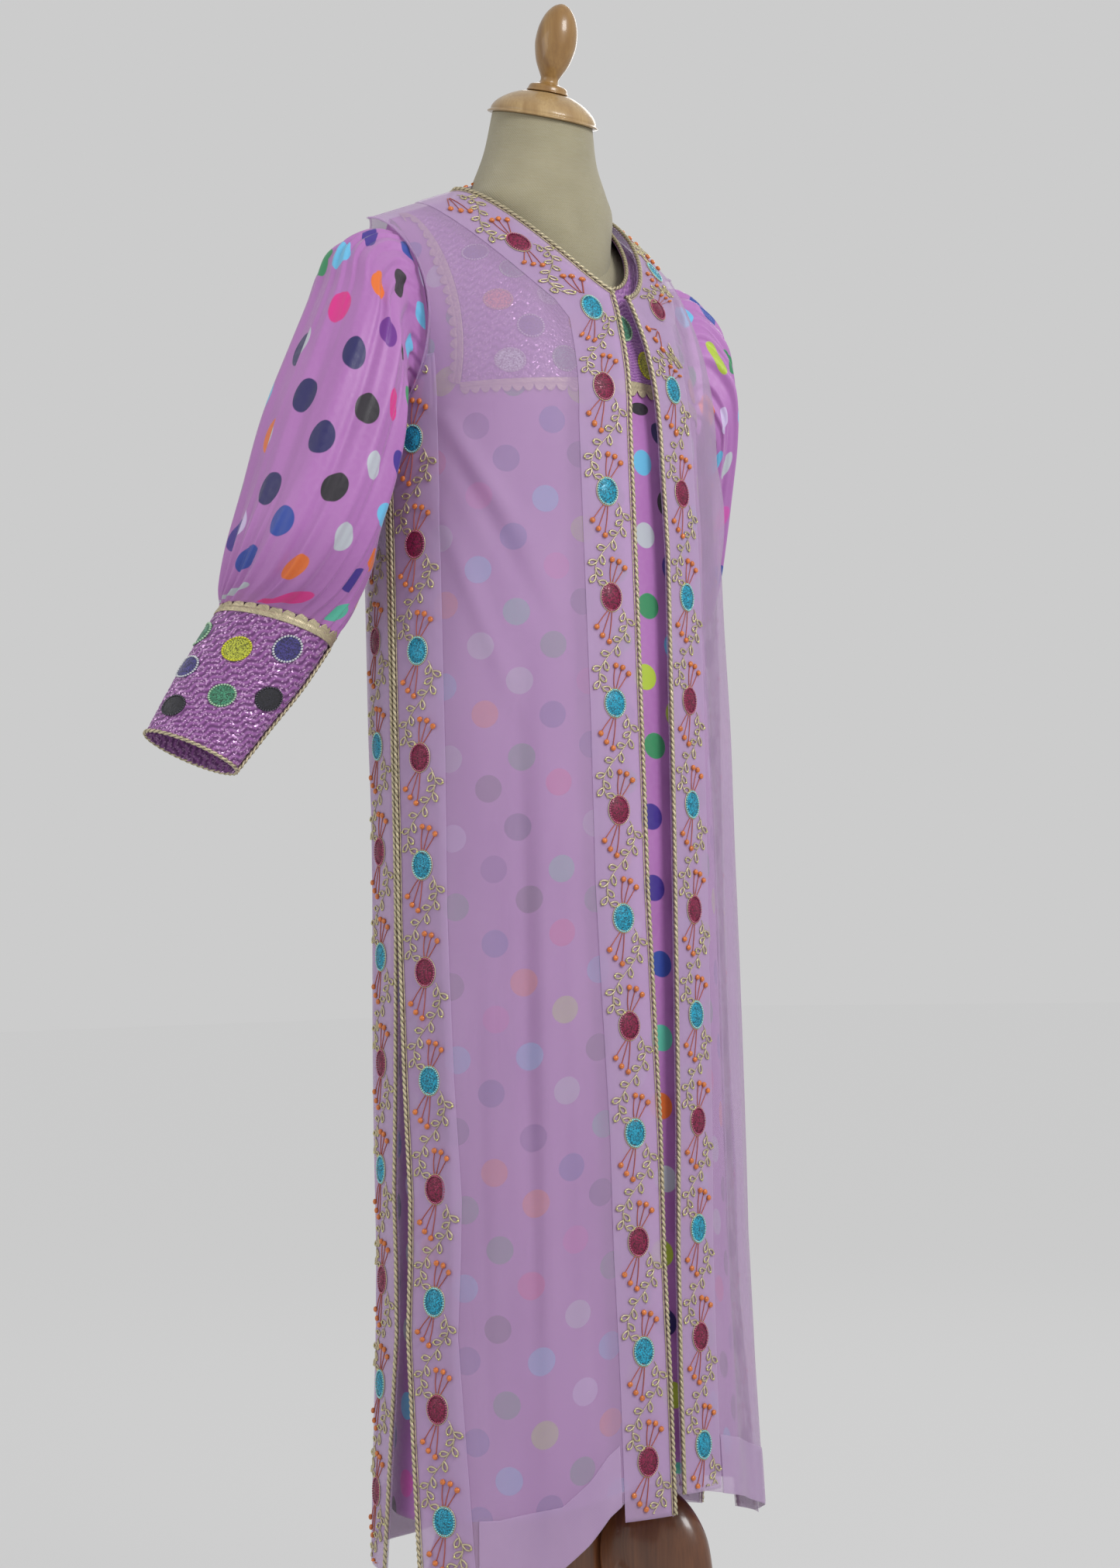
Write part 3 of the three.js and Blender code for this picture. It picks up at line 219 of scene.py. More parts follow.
def surface(name, colour, roughness, **constants):
    """A material, its node tree and its shader, with constants on the shader's own sockets."""
    material = bpy.data.materials.new(name)
    material.use_nodes = True
    shader = material.node_tree.nodes["Principled BSDF"]
    shader.inputs["Base Color"].default_value = srgb(*colour)
    shader.inputs["Roughness"].default_value = roughness
    for key, value in constants.items():
        shader.inputs[key.replace("_", " ")].default_value = value
    return material, shader


def node(material, kind, inputs, output=0, **settings):
    """Adds a node, sets or links its inputs, and gives one of its outputs."""
    made = material.node_tree.nodes.new("ShaderNode" + kind)
    for key, value in settings.items():
        setattr(made, key, value)
    for key, value in inputs.items():
        if isinstance(value, bpy.types.NodeSocket):
            material.node_tree.links.new(value, made.inputs[key])
        else:
            made.inputs[key].default_value = value
    return made.outputs[output]


def link(material, source, shader, socket):
    """Joins an output to one of the shader's sockets."""
    material.node_tree.links.new(source, shader.inputs[socket])


def blend(material, factor, a, b, mode="MIX"):
    """Mix of two colours, each a socket or a linear colour."""
    return node(material, "Mix", {0: factor, 6: a, 7: b}, 2, data_type="RGBA", blend_type=mode)


def sum_of(material, operation, *values):
    """One step of arithmetic on sockets and numbers."""
    return node(material, "Math", dict(enumerate(values)), operation=operation)


def ramp(material, factor, stops, steps=False):
    """Colour ramp from (place, linear colour) pairs."""
    made = material.node_tree.nodes.new("ShaderNodeValToRGB")
    made.color_ramp.interpolation = "CONSTANT" if steps else "LINEAR"
    elements = made.color_ramp.elements
    while len(elements) < len(stops):
        elements.new(0.5)
    for element, (place, colour) in zip(elements, stops):
        element.position = place
        element.color = colour
    material.node_tree.links.new(factor, made.inputs[0])
    return made.outputs[0]


def bump(material, height, strength, distance):
    """Bump of a height in metres of relief."""
    return node(material, "Bump", {"Height": height, "Strength": strength, "Distance": distance})


def thread_weave(material, place, threads_per_mm):
    """Plain weave: warp and weft as two sine waves a quarter out of step. Gives its height."""
    turns = threads_per_mm * 1000 * np.pi
    split = node(material, "SeparateXYZ", {0: place}).node.outputs
    waves = [sum_of(material, "SINE", sum_of(material, "MULTIPLY", split[k], turns)) for k in (0, 1)]
    return sum_of(material, "MULTIPLY", *waves)


def linen():
    """Unbleached linen: slubby plain weave with a slight mottle."""
    material, shader = surface("linen", (156, 150, 128), 0.9, Sheen_Weight=0.25, Sheen_Roughness=0.6)
    uv = node(material, "UVMap", {})
    mottle = node(material, "TexNoise", {"Vector": uv, "Scale": 28.0, "Detail": 5.0})
    slubs = node(material, "TexNoise", {
        "Vector": node(material, "Mapping", {0: uv, 3: (1.0, 14.0, 1.0)}), "Scale": 60.0,
        "Detail": 3.0})
    tone = blend(material, mottle, srgb(144, 138, 116), srgb(168, 162, 140))
    tone = blend(material, slubs, tone, srgb(172, 166, 146), "SOFT_LIGHT")
    link(material, tone, shader, "Base Color")
    threads = thread_weave(material, uv, 0.9)
    height = sum_of(material, "ADD", threads, sum_of(material, "MULTIPLY", slubs, 1.5))
    link(material, bump(material, height, 0.5, 0.0003), shader, "Normal")
    return material


LINEN = linen()
NECK_RINGS = [  # height above the side neck point, y, half-width, half-depth and degrees of tip
    (-82, -2, 58, 60, 0), (-40, 1, 66, 60, 0), (-10, 1, 71, 58, 2), (10, -1, 62, 54.5, 5),
    (38, -4, 50.5, 48.5, 11), (71, -8, 44.5, 44.5, 17),
]
NECK_TOP = np.array([0, -8, NECK_Z + 71])
NECK_TILT = np.radians(17)


def spline(rows, t):
    """Rows of a table read at t, between them along a curve through all of them whose slope at
    each row is that of its two neighbours."""
    rows = np.asarray(rows, float)
    t = np.asarray(t, float)
    i = np.clip(np.floor(t).astype(int), 0, len(rows) - 2)
    f = (t - i)[..., None]
    slope = np.gradient(rows, axis=0)
    a, b = rows[i], rows[i + 1]
    return (a * (1 + 2 * f) * (1 - f) ** 2 + b * f * f * (3 - 2 * f)
            + slope[i] * f * (1 - f) ** 2 - slope[i + 1] * f * f * (1 - f))


turn = np.linspace(0, 2 * np.pi, 97)
rise = np.concatenate([np.linspace(CHEST_DROP - FORM_BOTTOM_DROP, 0, 61),
                       np.linspace(0, RISE * 0.985, 40)[1:]])
torso = on_layer(FORM, turn[None, :], rise[:, None])
foot = torso[0] * (1, 1, 0) + (0, 0, NECK_Z - FORM_BOTTOM_DROP)
shrink = np.linspace(0.02, 1, 8)[:-1, None, None]
torso = np.concatenate([foot * (shrink * (1, 1, 0) + (0, 0, 1)), torso])
torso_piece = weave("linen_torso", torso, metres_of_cloth(torso), LINEN, closed=True)

up, back, half_x, half_y, tip = spline(NECK_RINGS, np.linspace(0, 5, 44)).T[..., None]
seam_ridge = 0.5 * np.exp(-(((turn + 0.35) % np.pi) - np.pi / 2) ** 2 / 0.0016)
half_x, half_y, tip = half_x + seam_ridge, half_y + seam_ridge, np.radians(tip)
neck = np.stack([half_x * np.cos(turn), back + half_y * np.sin(turn) * np.cos(tip),
                 NECK_Z + up + half_y * np.sin(turn) * np.sin(tip)], -1)
neck_piece = weave("linen_neck", neck, metres_of_cloth(neck), LINEN, closed=True)
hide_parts("form_torso")

# ---------------------------------------------------------------- neck cap, finial, hub, pole
# Turned beech pieces: a domed cap that closes the neck, a finial pegged into it, and the dark
# stained pole and hub of the stand. All are varnished over lathe marks and open grain.
CAP = [(0, 0), (45.5, 0), (46.5, 3), (46, 6), (43, 10.5), (37, 15.5), (29, 20), (19, 23.2), (0, 23.6)]
FINIAL = [(0, 0), (17, 0), (17.3, 2.5), (15.5, 6), (9, 8.3), (7.8, 12), (9.5, 16), (14.5, 26),
          (17.6, 38), (18, 46), (16.8, 56), (13.2, 66), (8, 73), (3, 76.2), (0, 76.5)]
HUB = [(0, 0), (30, 0), (34, 3), (36, 8), (39.5, 24), (40, 50), (39.5, 70), (34, 84), (31, 86),
       (30, 89), (24, 92), (20, 96), (0, 96)]
HUB_Z = 126.0
POLE_RADIUS = 14.0
SEAM = 0.3


def turned(profile, steps, sides):
    """A lathe surface: a curve through (radius, height) pairs, swept round the z axis."""
    radius, height = spline(profile, np.linspace(0, len(profile) - 1, steps)).T
    radius = np.clip(radius, 0.02, None)[:, None]
    turn = np.linspace(0, 2 * np.pi, sides + 1)
    return np.stack([radius * np.cos(turn), radius * np.sin(turn),
                     height[:, None] + 0 * turn], -1)


def varnished_wood(name, dark, light, roughness, scale):
    """Straight grain along z, as stretched noise with fine pores, under varnish."""
    material, shader = surface(name, light, roughness, Coat_Weight=0.5, Coat_Roughness=0.12)
    place = node(material, "TexCoord", {}, 3)
    grain = node(material, "TexNoise", {
        "Vector": node(material, "Mapping", {0: place, 3: (1.0, 1.0, 0.09)}),
        "Scale": scale, "Detail": 6.0, "Distortion": 0.6})
    pores = node(material, "TexNoise", {
        "Vector": node(material, "Mapping", {0: place, 3: (1.0, 1.0, 0.03)}),
        "Scale": scale * 9, "Detail": 2.0})
    tone = ramp(material, grain, [(0.3, srgb(*dark)), (0.7, srgb(*light))])
    tone = blend(material, pores, srgb(*dark), tone, "MIX")
    link(material, tone, shader, "Base Color")
    height = sum_of(material, "ADD", grain, pores)
    link(material, bump(material, height, 0.25, 0.0004), shader, "Normal")
    return material


def tipped(points, up):
    """Points of a turned piece set on the top of the tipped neck, at a height above it."""
    c, s = np.cos(NECK_TILT), np.sin(NECK_TILT)
    turned_back = points @ np.array([[1, 0, 0], [0, c, s], [0, -s, c]])
    return turned_back + NECK_TOP + up * np.array([0, -s, c])


CAP_WOOD = varnished_wood("cap_wood", (150, 118, 74), (200, 172, 122), 0.42, 60.0)
FINIAL_WOOD = varnished_wood("finial_wood", (132, 96, 50), (184, 146, 86), 0.35, 55.0)
STAND_WOOD = varnished_wood("stand_wood", (80, 44, 22), (148, 92, 54), 0.32, 40.0)
LATHE = [
    ("neck_cap", tipped(turned(CAP, 46, 72), SEAM), CAP_WOOD, "cap_wood"),
    ("finial", tipped(turned(FINIAL, 90, 56), 23.6 + 2 * SEAM), FINIAL_WOOD, "finial_wood"),
    ("hub", turned(HUB, 70, 64) + (0, 0, HUB_Z), STAND_WOOD, "stand_wood"),
    ("pole", turned([(0, 0), (POLE_RADIUS, 0), (POLE_RADIUS, 300), (POLE_RADIUS, 569.3), (0, 569.3)],
                    60, 32) + (0, 0, HUB_Z + 96 + SEAM), STAND_WOOD, "stand_wood"),
]
for name, points, wood, wood_slot in LATHE:
    piece = weave(f"turned_{name}", points, metres_of_cloth(points), wood, closed=True)
    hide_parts(name)

# ---------------------------------------------------------------- cabriole legs
# Three carved legs of the same dark wood, dowelled to the hub: a full knee, a slim ankle and a
# round pad of a foot that stands flat on the floor.
LEG = [  # out, up, steep, half-height, half-thickness
    (40.4, 166, 0, 34, 20), (55, 177, 8, 43, 23), (72, 180, 34, 48, 25), (87, 165, 60, 46, 25),
    (99, 139, 74, 37, 22), (115, 109, 68, 28, 18), (135, 76, 58, 21, 15), (162, 44, 52, 18, 14),
    (187, 20, 62, 22, 17), (199, 7, 84, 28, 22), (201, 0, 90, 26, 21),
]
LEG_TURNS = {"leg_right": 168, "leg_front": 288, "leg_back": 48}


def carved_leg(degrees):
    """Ovals along a curve through the leg's table, each leaning back by its steepness, and
    closed at both ends."""
    out, up, steep, half, thick = spline(LEG, np.linspace(0, len(LEG) - 1, 90)).T
    up[-1], steep[-1] = 0, 90
    close = np.concatenate([[0.02], np.ones(90), [0.02]])
    out, up, steep, half, thick = (np.pad(c, 1, mode="edge") for c in (out, up, steep, half, thick))
    lean = np.radians(steep)[:, None]
    theta = np.linspace(0, 2 * np.pi, 33)
    reach = (half * close)[:, None] * np.cos(theta)
    radial = out[:, None] + reach * np.sin(lean)
    height = np.clip(up[:, None] + reach * np.cos(lean), 0, None)
    side = (thick * close)[:, None] * np.sin(theta)
    c, s = np.cos(np.radians(degrees)), np.sin(np.radians(degrees))
    return np.stack([radial * c - side * s, radial * s + side * c, height], -1)


for name, degrees in LEG_TURNS.items():
    points = carved_leg(degrees)
    piece = weave(f"carved_{name}", points, metres_of_cloth(points), STAND_WOOD, closed=True)
    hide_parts(name)

# ---------------------------------------------------------------- satin dress, front and back
# Orchid satin woven with a tone-on-tone ring and printed with coloured dots in staggered rows.
# Two panels are joined at the shoulders and sides and hang almost straight to the hem.
HEM_Z = 170.0
HEM_RISE = HEM_Z - CHEST_Z
RISE_END = RISE - 0.25
DRESS = {
    "lower": 6.3, "top": 153.0,
    "sections": [(212, 149, 115, 2), (330, 150, 116, 1), (560, 152, 117, 0), (900, 156, 119, 0),
                 (1152, 164, 126, 0)],
    "folds": [(-80, 9, 3, 240), (-100, 9, -3, 240), (-124, 9, 3, 300), (-56, 9, -3, 300),
              (-152, 9, -3, 400), (-27, 9, 3, 400), (50, 10, 3, 300), (90, 10, -3, 260),
              (128, 10, 3, 320)],
    "hem": [(-180, 42), (-135, 48), (-90, 72), (-45, 48), (0, 42), (180, 42)],
    "bite": (19, 0.6),
    "creases": [  # from (degrees, drop), to (degrees, drop), width, depth
        (-150, 250, -112, 420, 16, 1.6), (-30, 250, -68, 410, 16, 1.6),
        (-96, 420, -88, 1100, 12, -2.2), (-70, 380, -74, 1050, 10, 1.8),
        (-108, 500, -112, 1120, 10, 1.9), (-132, 420, -136, 1100, 13, -2.0),
        (20, 420, 24, 1100, 14, 2.0), (70, 300, 66, 1080, 13, -2.0), (110, 360, 112, 1090, 13, 2.0),
        (160, 430, 156, 1080, 14, -2.0),
    ],
}
NECK_FRONT_DRESS = (74.0, 88.0, 1.9)       # half-width, depth and how square the curve is
NECK_BACK_DRESS = (74.0, 20.0, 2.4)
MM_PER_DEGREE = 2.6                        # round the body, for laying out creases


def crease_out(layer, angle, drop):
    """Soft troughs and ridges: each follows a straight line over the cloth, falls off like a bell across its
    width, and fades towards both ends."""
    across = np.degrees(angle) * MM_PER_DEGREE
    out = np.zeros(np.broadcast(angle, drop).shape)
    for a0, d0, a1, d1, width, depth in layer["creases"]:
        for wrap in (-360, 0, 360):
            ax, bx = (a0 + wrap) * MM_PER_DEGREE, (a1 + wrap) * MM_PER_DEGREE
            dx, dy = bx - ax, d1 - d0
            length = np.hypot(dx, dy)
            along = ((across - ax) * dx + (drop - d0) * dy) / length ** 2
            away = ((across - ax) * dy - (drop - d0) * dx) / length
            body = np.sin(np.pi * np.clip(along, 0, 1)) ** 0.8
            out += depth * body * np.exp(-((away / width) ** 2))
    return out


def ripple(angle, drop, size, seed):
    """Slight unevenness of hung cloth: six long waves with random headings."""
    draw = np.random.default_rng(seed)
    across = np.degrees(angle) * MM_PER_DEGREE
    total = 0
    for _ in range(6):
        kx, ky, phase = draw.uniform(0.02, 0.07), draw.uniform(-0.015, 0.015), draw.uniform(0, 6.3)
        total = total + np.sin(across * kx + drop * ky + phase)
    return size * total / 6


def armhole_bite(layer, rise):
    """How far, in radians, the armhole cuts into a panel at a rise."""
    degrees, power = layer["bite"]
    t = np.clip(rise / RISE, 0, 1)
    return np.radians(degrees) * np.abs(np.sin(np.pi * t)) ** power


def neck_z(layer, neck, x):
    """Height of a neck curve: lowest in the middle, rising with a power of x."""
    half, depth, power = neck
    return NECK_Z - layer["lower"] - depth + depth * np.minimum(1, np.abs(x) / half) ** power


def top_rise(layer, neck, angle):
    """Rise at which each column meets the neck curve, or else the shoulder seam."""
    x = layer["top"] * np.cos(angle)
    inside = np.abs(x) < neck[0]
    found = np.full(np.shape(angle), RISE)
    for _ in range(30):
        share = (neck_z(layer, neck, x) - CHEST_Z) / (shoulder_z(layer, x) - CHEST_Z)
        found = np.arcsin(np.clip(share, 0, 1)) / (np.pi / 2) * RISE
        x = on_layer(layer, angle, found)[..., 0]
    return np.where(inside, np.minimum(found, RISE_END), RISE_END)


def hem_rise(layer, angle):
    """Rise of the hem at an angle, from the layer's table of how far it lifts."""
    at, lift = zip(*layer["hem"])
    degrees = (np.degrees(angle) + 180) % 360 - 180
    return HEM_RISE + np.interp(degrees, at, lift)


def panel(layer, left, right, neck, bite, columns, low_rows, top_rows):
    """Angles and rises of a panel, rows by columns, between two side lines that depend on rise.
    bite gives how far in, from 0 to 1, the armhole reaches from the left and from the right."""
    u = np.linspace(0, 1, columns)
    share = sum(sign * np.maximum(0, 1 - distance / reach)
                for sign, distance, reach in ((1, u, bite[0]), (-1, 1 - u, bite[1])) if reach > 0)

    def angle_at(rise):
        return left(rise) * (1 - u) + right(rise) * u + share * armhole_bite(layer, rise)

    end = top_rise(layer, neck, angle_at(np.full(columns, RISE)))
    for _ in range(25):
        end = 0.5 * end + 0.5 * top_rise(layer, neck, angle_at(end))
    start = hem_rise(layer, angle_at(np.full(columns, HEM_RISE)))
    low = start + (0 - start) * np.linspace(0, 1, low_rows)[:, None]
    high = end * (1 - (1 - np.linspace(0, 1, top_rows)[1:, None]) ** 1.25)
    rise = np.concatenate([low, high])
    return np.stack([angle_at(row) for row in rise]), rise


def hung(layer, angle, rise, height, stir=1.0):
    """Points of hung cloth at a height above a layer, with its creases and unevenness, which die
    away over the shoulders."""
    drop = CHEST_DROP - np.minimum(0, rise)
    calm = 1 - smooth(rise / 120)
    out = crease_out(layer, angle, drop - np.maximum(0, rise)) + ripple(angle, drop, 0.8, 7)
    return off_layer(layer, angle, rise, height + stir * calm * out)


DOTS = [  # place on the ramp, colour of the dot
    (0.00, (34, 30, 92)), (0.08, (214, 44, 136)), (0.16, (62, 42, 140)), (0.24, (176, 200, 58)),
    (0.32, (226, 112, 42)), (0.40, (40, 36, 44)), (0.47, (104, 186, 226)), (0.55, (186, 192, 200)),
    (0.62, (52, 140, 92)), (0.69, (204, 88, 176)), (0.76, (44, 72, 160)), (0.83, (86, 186, 160)),
    (0.90, (110, 46, 142)), (0.95, (206, 190, 226)),
]


def dotted_satin(name, ground, deep):
    """Satin with round dots on a square lattice turned an eighth of a turn, a hashed colour each, and faint
    woven rings between them; fine cross threads catch the light. Its ground carries painted sheen and shade:
    soft patches of a darker tone, laid at random."""
    material, shader = surface(name, ground, 0.36, Sheen_Weight=0.35, Sheen_Roughness=0.35,
                               Anisotropic=0.45, Specular_IOR_Level=0.6)
    uv = node(material, "UVMap", {})
    lattice = node(material, "Mapping", {0: uv, 2: (0, 0, np.radians(45)), 3: (1, 1, 1)})
    cells = node(material, "TexVoronoi", {"Vector": lattice, "Scale": 1 / 0.043, "Randomness": 0.22},
                 0, voronoi_dimensions="2D")
    colour = ramp(material, node(material, "SeparateColor", {0: cells.node.outputs[1]}),
                  [(place, srgb(*tone)) for place, tone in DOTS], steps=True)
    inside = node(material, "MapRange", {0: cells, 1: 0.268, 2: 0.250, 3: 0.0, 4: 1.0})
    rings = node(material, "TexVoronoi", {"Vector": lattice, "Scale": 1 / 0.0152, "Randomness": 0.1},
                 0, voronoi_dimensions="2D")
    ring = sum_of(material, "SINE", sum_of(material, "MULTIPLY", rings, 16.0))
    # painted sheen and shade: soft patches of the ground and a darker tone, laid at random
    painted_sheen_patches = node(material, "TexNoise", {"Vector": uv, "Scale": 9.0, "Detail": 3.0})
    ground_tone = blend(material, painted_sheen_patches, srgb(*deep), srgb(*ground))
    ring_tone = blend(material, node(material, "MapRange", {0: ring, 1: 0.2, 2: 0.9, 3: 0, 4: 0.07}),
                      ground_tone, srgb(190, 140, 194))
    link(material, blend(material, inside, ring_tone, colour), shader, "Base Color")
    rough = node(material, "MapRange", {0: ring, 1: -1, 2: 1, 3: 0.30, 4: 0.44})
    link(material, rough, shader, "Roughness")
    threads = thread_weave(material, uv, 2.2)
    height = sum_of(material, "ADD", threads, sum_of(material, "MULTIPLY", ring, 0.3))
    height = sum_of(material, "ADD", height, sum_of(material, "MULTIPLY", inside, 2.0))
    link(material, bump(material, height, 0.35, 0.00012), shader, "Normal")
    return material


# the second colour is the darker tone of the painted sheen and shade
SATIN = dotted_satin("dotted_satin", (190, 128, 196), (158, 96, 164))
DRESS_SIDE = 0.15 / DRESS["sections"][0][2]
dress_corner = np.arccos(NECK_FRONT_DRESS[0] / DRESS["top"]) / np.pi
for name, left, right, neck in [
    ("dress_front", -np.pi + DRESS_SIDE, -DRESS_SIDE, NECK_FRONT_DRESS),
    ("dress_back", DRESS_SIDE, np.pi - DRESS_SIDE, NECK_BACK_DRESS),
]:
    angle, rise = panel(DRESS, lambda r, a=left: a + 0 * r, lambda r, a=right: a + 0 * r, neck,
                        (dress_corner, dress_corner), 105, 170, 52)
    points = hung(DRESS, angle, rise, 0.6)
    flat = metres_of_cloth(on_layer(DRESS, angle, rise))
    flat[..., 0] += 0.013 * (name == "dress_back")
    piece = weave(f"satin_{name}", points, flat, SATIN)
    lay(piece, points, name)

# ---------------------------------------------------------------- quilted yoke, trims, piping
# A bib of purple cloth covered in close waves of metallic stitching and dots with beaded rims,
# appliqued to the dress from shoulder to shoulder. A scalloped gold lace hides its lower edge and
# its two sides, and a gold cord its neck edge.
YOKE_DROP = 182.0
YOKE_RISE = np.arcsin((CHEST_DROP - YOKE_DROP) / CHEST_DROP) / (np.pi / 2) * RISE


def glitter_quilting(name, low, high):
    """Purple cloth with lilac metallic thread in waves, and flecks of glitter that are shiny
    where a random cell is bright."""
    material, shader = surface(name, (104, 52, 108), 0.5, Sheen_Weight=0.2, Coat_Weight=0.25,
                               Coat_Roughness=0.3)
    uv = node(material, "UVMap", {})
    flecks = node(material, "TexVoronoi", {"Vector": uv, "Scale": 900.0}, 1, voronoi_dimensions="2D")
    fleck = node(material, "SeparateColor", {0: flecks})
    bright = node(material, "MapRange", {0: fleck, 1: 0.72, 2: 0.95, 3: 0.0, 4: 1.0})
    wave = wave_of_stitches(material, uv)
    stitched = blend(material, wave, srgb(*low), srgb(*high))
    link(material, blend(material, bright, stitched, srgb(224, 178, 226)), shader, "Base Color")
    link(material, node(material, "MapRange", {0: bright, 1: 0, 2: 1, 3: 0.55, 4: 0.2}), shader,
         "Roughness")
    link(material, sum_of(material, "MULTIPLY", bright, 0.6), shader, "Metallic")
    height = sum_of(material, "ADD", fleck, sum_of(material, "MULTIPLY", wave, 2.0))
    link(material, bump(material, height, 0.5, 0.0004), shader, "Normal")
    return material


WAVE_PITCH, WAVE_LENGTH, WAVE_SWING = 6.0, 14.0, 1.7     # rows of stitching, and how they snake


def wave_of_stitches(material, uv):
    """0 between the rows of stitching and 1 on them: rows a pitch apart that snake sideways."""
    split = node(material, "SeparateXYZ", {0: uv}).node.outputs

    def wave(place, length):
        return sum_of(material, "SINE",
                      sum_of(material, "MULTIPLY", place, 2 * np.pi / (length * MM)))

    snake = sum_of(material, "MULTIPLY", wave(split[0], WAVE_LENGTH), WAVE_SWING * MM)
    row = wave(sum_of(material, "ADD", split[1], snake), WAVE_PITCH)
    return node(material, "MapRange", {0: row, 1: -1, 2: 1, 3: 0, 4: 1})


def quilt_relief(flat, depth):
    """Height of the quilting on a grid of flat places, the same waves as the stitching."""
    u, v = flat[..., 0] / MM, flat[..., 1] / MM
    shifted = v + WAVE_SWING * np.sin(2 * np.pi * u / WAVE_LENGTH)
    return depth * (0.5 + 0.5 * np.sin(2 * np.pi * shifted / WAVE_PITCH))


QUILTED = glitter_quilting("glitter_quilting", (94, 40, 102), (150, 88, 158))
YOKE_CLOTH = glitter_quilting("glitter_yoke", (126, 72, 142), (162, 108, 176))
stretch = (shoulder_z(DRESS, 100.0) - CHEST_Z) * np.pi / 2 / RISE     # mm of height to one of rise
span = np.pi - 2 * DRESS_SIDE
yoke_from, yoke_to = 2 / 6 * dress_corner, 1 - 2 / 6 * dress_corner
angle, rise = panel(DRESS, lambda r: -np.pi + DRESS_SIDE + 0 * r, lambda r: -DRESS_SIDE + 0 * r,
                    NECK_FRONT_DRESS, (dress_corner, dress_corner), 241, 2, 150)
keep = slice(round(yoke_from * 240), round(yoke_to * 240) + 1)
angle, rise = angle[:, keep], rise[:, keep]
share = np.linspace(0, 1, 130)[:, None]
top = rise[-1]
rise = YOKE_RISE + (top - YOKE_RISE) * share
u = np.linspace(yoke_from, yoke_to, rise.shape[1])
armhole = np.maximum(0, 1 - u / dress_corner) - np.maximum(0, 1 - (1 - u) / dress_corner)
angle = -np.pi + DRESS_SIDE + span * u + armhole * armhole_bite(DRESS, rise)
flat = metres_of_cloth(on_layer(DRESS, angle, rise))
points = off_layer(DRESS, angle, rise, 1.4 + quilt_relief(flat, 0.4))
yoke = weave("quilted_yoke", points, flat, YOKE_CLOTH)
lay(yoke, points, "dress_yoke", wall=0.7)

STEP = 2.0                          # how finely strips are walked inwards


def strip_beside(layer, angle, rise, side, reach, stop=RISE_END):
    """A strip of cloth beside an edge: from each stop it walks square to the edge over the layer,
    in small steps. side is 1 where it lies to the left of the way the edge runs, else -1."""
    points = on_layer(layer, angle, rise)
    along = unit(np.gradient(points, axis=0))
    across, up = tangents(layer, angle, rise)
    heading = side * unit(np.cross(unit(np.cross(across, up)), along))
    places = [(angle, rise)]
    for _ in range(int(np.ceil(reach / STEP))):
        across, up = tangents(layer, angle, rise)
        normal = unit(np.cross(across, up))
        heading = unit(heading - normal * (heading * normal).sum(-1, keepdims=True))
        aa, au, uu = (across ** 2).sum(-1), (across * up).sum(-1), (up ** 2).sum(-1)
        ha, hu = (heading * across).sum(-1), (heading * up).sum(-1)
        det = aa * uu - au * au
        angle = angle + STEP * (ha * uu - hu * au) / det
        rise = np.minimum(rise + STEP * (hu * aa - ha * au) / det, stop)
        places.append((angle, rise))
    s = np.concatenate([[0], np.cumsum(np.linalg.norm(np.diff(points, axis=0), axis=-1))])
    return {"layer": layer, "s": s, "angle": np.array([p[0] for p in places]).T,
            "rise": np.array([p[1] for p in places]).T}


def strip_places(strip, s, t):
    """Angle and rise at s along and t across a strip, read between its stops."""
    s, t = np.broadcast_arrays(np.asarray(s, float), np.asarray(t, float))
    rows, columns = strip["angle"].shape
    i = np.interp(s, strip["s"], np.arange(rows))
    j = np.clip(t / STEP, 0, columns - 1.001)
    i = np.clip(i, 0, rows - 1.001)
    i0, j0 = i.astype(int), j.astype(int)
    fi, fj = i - i0, j - j0
    read = []
    for grid in (strip["angle"], strip["rise"]):
        read.append((grid[i0, j0] * (1 - fj) + grid[i0, j0 + 1] * fj) * (1 - fi)
                    + (grid[i0 + 1, j0] * (1 - fj) + grid[i0 + 1, j0 + 1] * fj) * fi)
    return read


def on_strip(strip, s, t, height):
    """Points of a strip at a height above its layer, with the creases of the cloth under it."""
    angle, rise = strip_places(strip, s, t)
    return hung(strip["layer"], angle, rise, height)


def neck_line(layer, neck, x, front):
    """Angles and rises along a neck curve, at these distances from the middle."""
    share = (neck_z(layer, neck, x) - CHEST_Z) / (shoulder_z(layer, x) - CHEST_Z)
    rise = np.minimum(np.arcsin(np.clip(share, 0, 1)) / (np.pi / 2) * RISE, RISE_END)
    full = on_layer(layer, 0 * x, rise)[..., 0]
    turn = np.arccos(np.clip(x / full, -1, 1))
    return (-turn if front else turn), rise


def cord_along(name, path, out, radius, material, twist=0.0, sides=8):
    """A cord through a path: round, or with twist two strands that turn once in that length, as a
    radius that swells twice round. out is each point's way away from the cloth."""
    along = unit(np.gradient(path, axis=0))
    side = unit(np.cross(along, out))
    out = np.cross(side, along)
    s = np.concatenate([[0], np.cumsum(np.linalg.norm(np.diff(path, axis=0), axis=-1))])
    theta = np.linspace(0, 2 * np.pi, sides + 1)[None, :]
    strands = np.cos(2 * theta - 2 * np.pi * s[:, None] / twist) if twist else 0
    r = (radius * (1 + 0.27 * strands) * np.ones_like(s)[:, None])[..., None]
    points = path[:, None] + r * (np.cos(theta)[..., None] * side[:, None]
                                  + np.sin(theta)[..., None] * out[:, None])
    ends = [np.broadcast_to(path[k], points[k].shape) for k in (0, -1)]
    points = np.concatenate([ends[0][None], points, ends[1][None]])
    uv = np.stack([np.broadcast_to(theta * radius * MM, points.shape[:2]),
                   np.broadcast_to(np.pad(s, 1, mode="edge")[:, None] * MM, points.shape[:2])], -1)
    return weave(name, points, uv, material, closed=True)


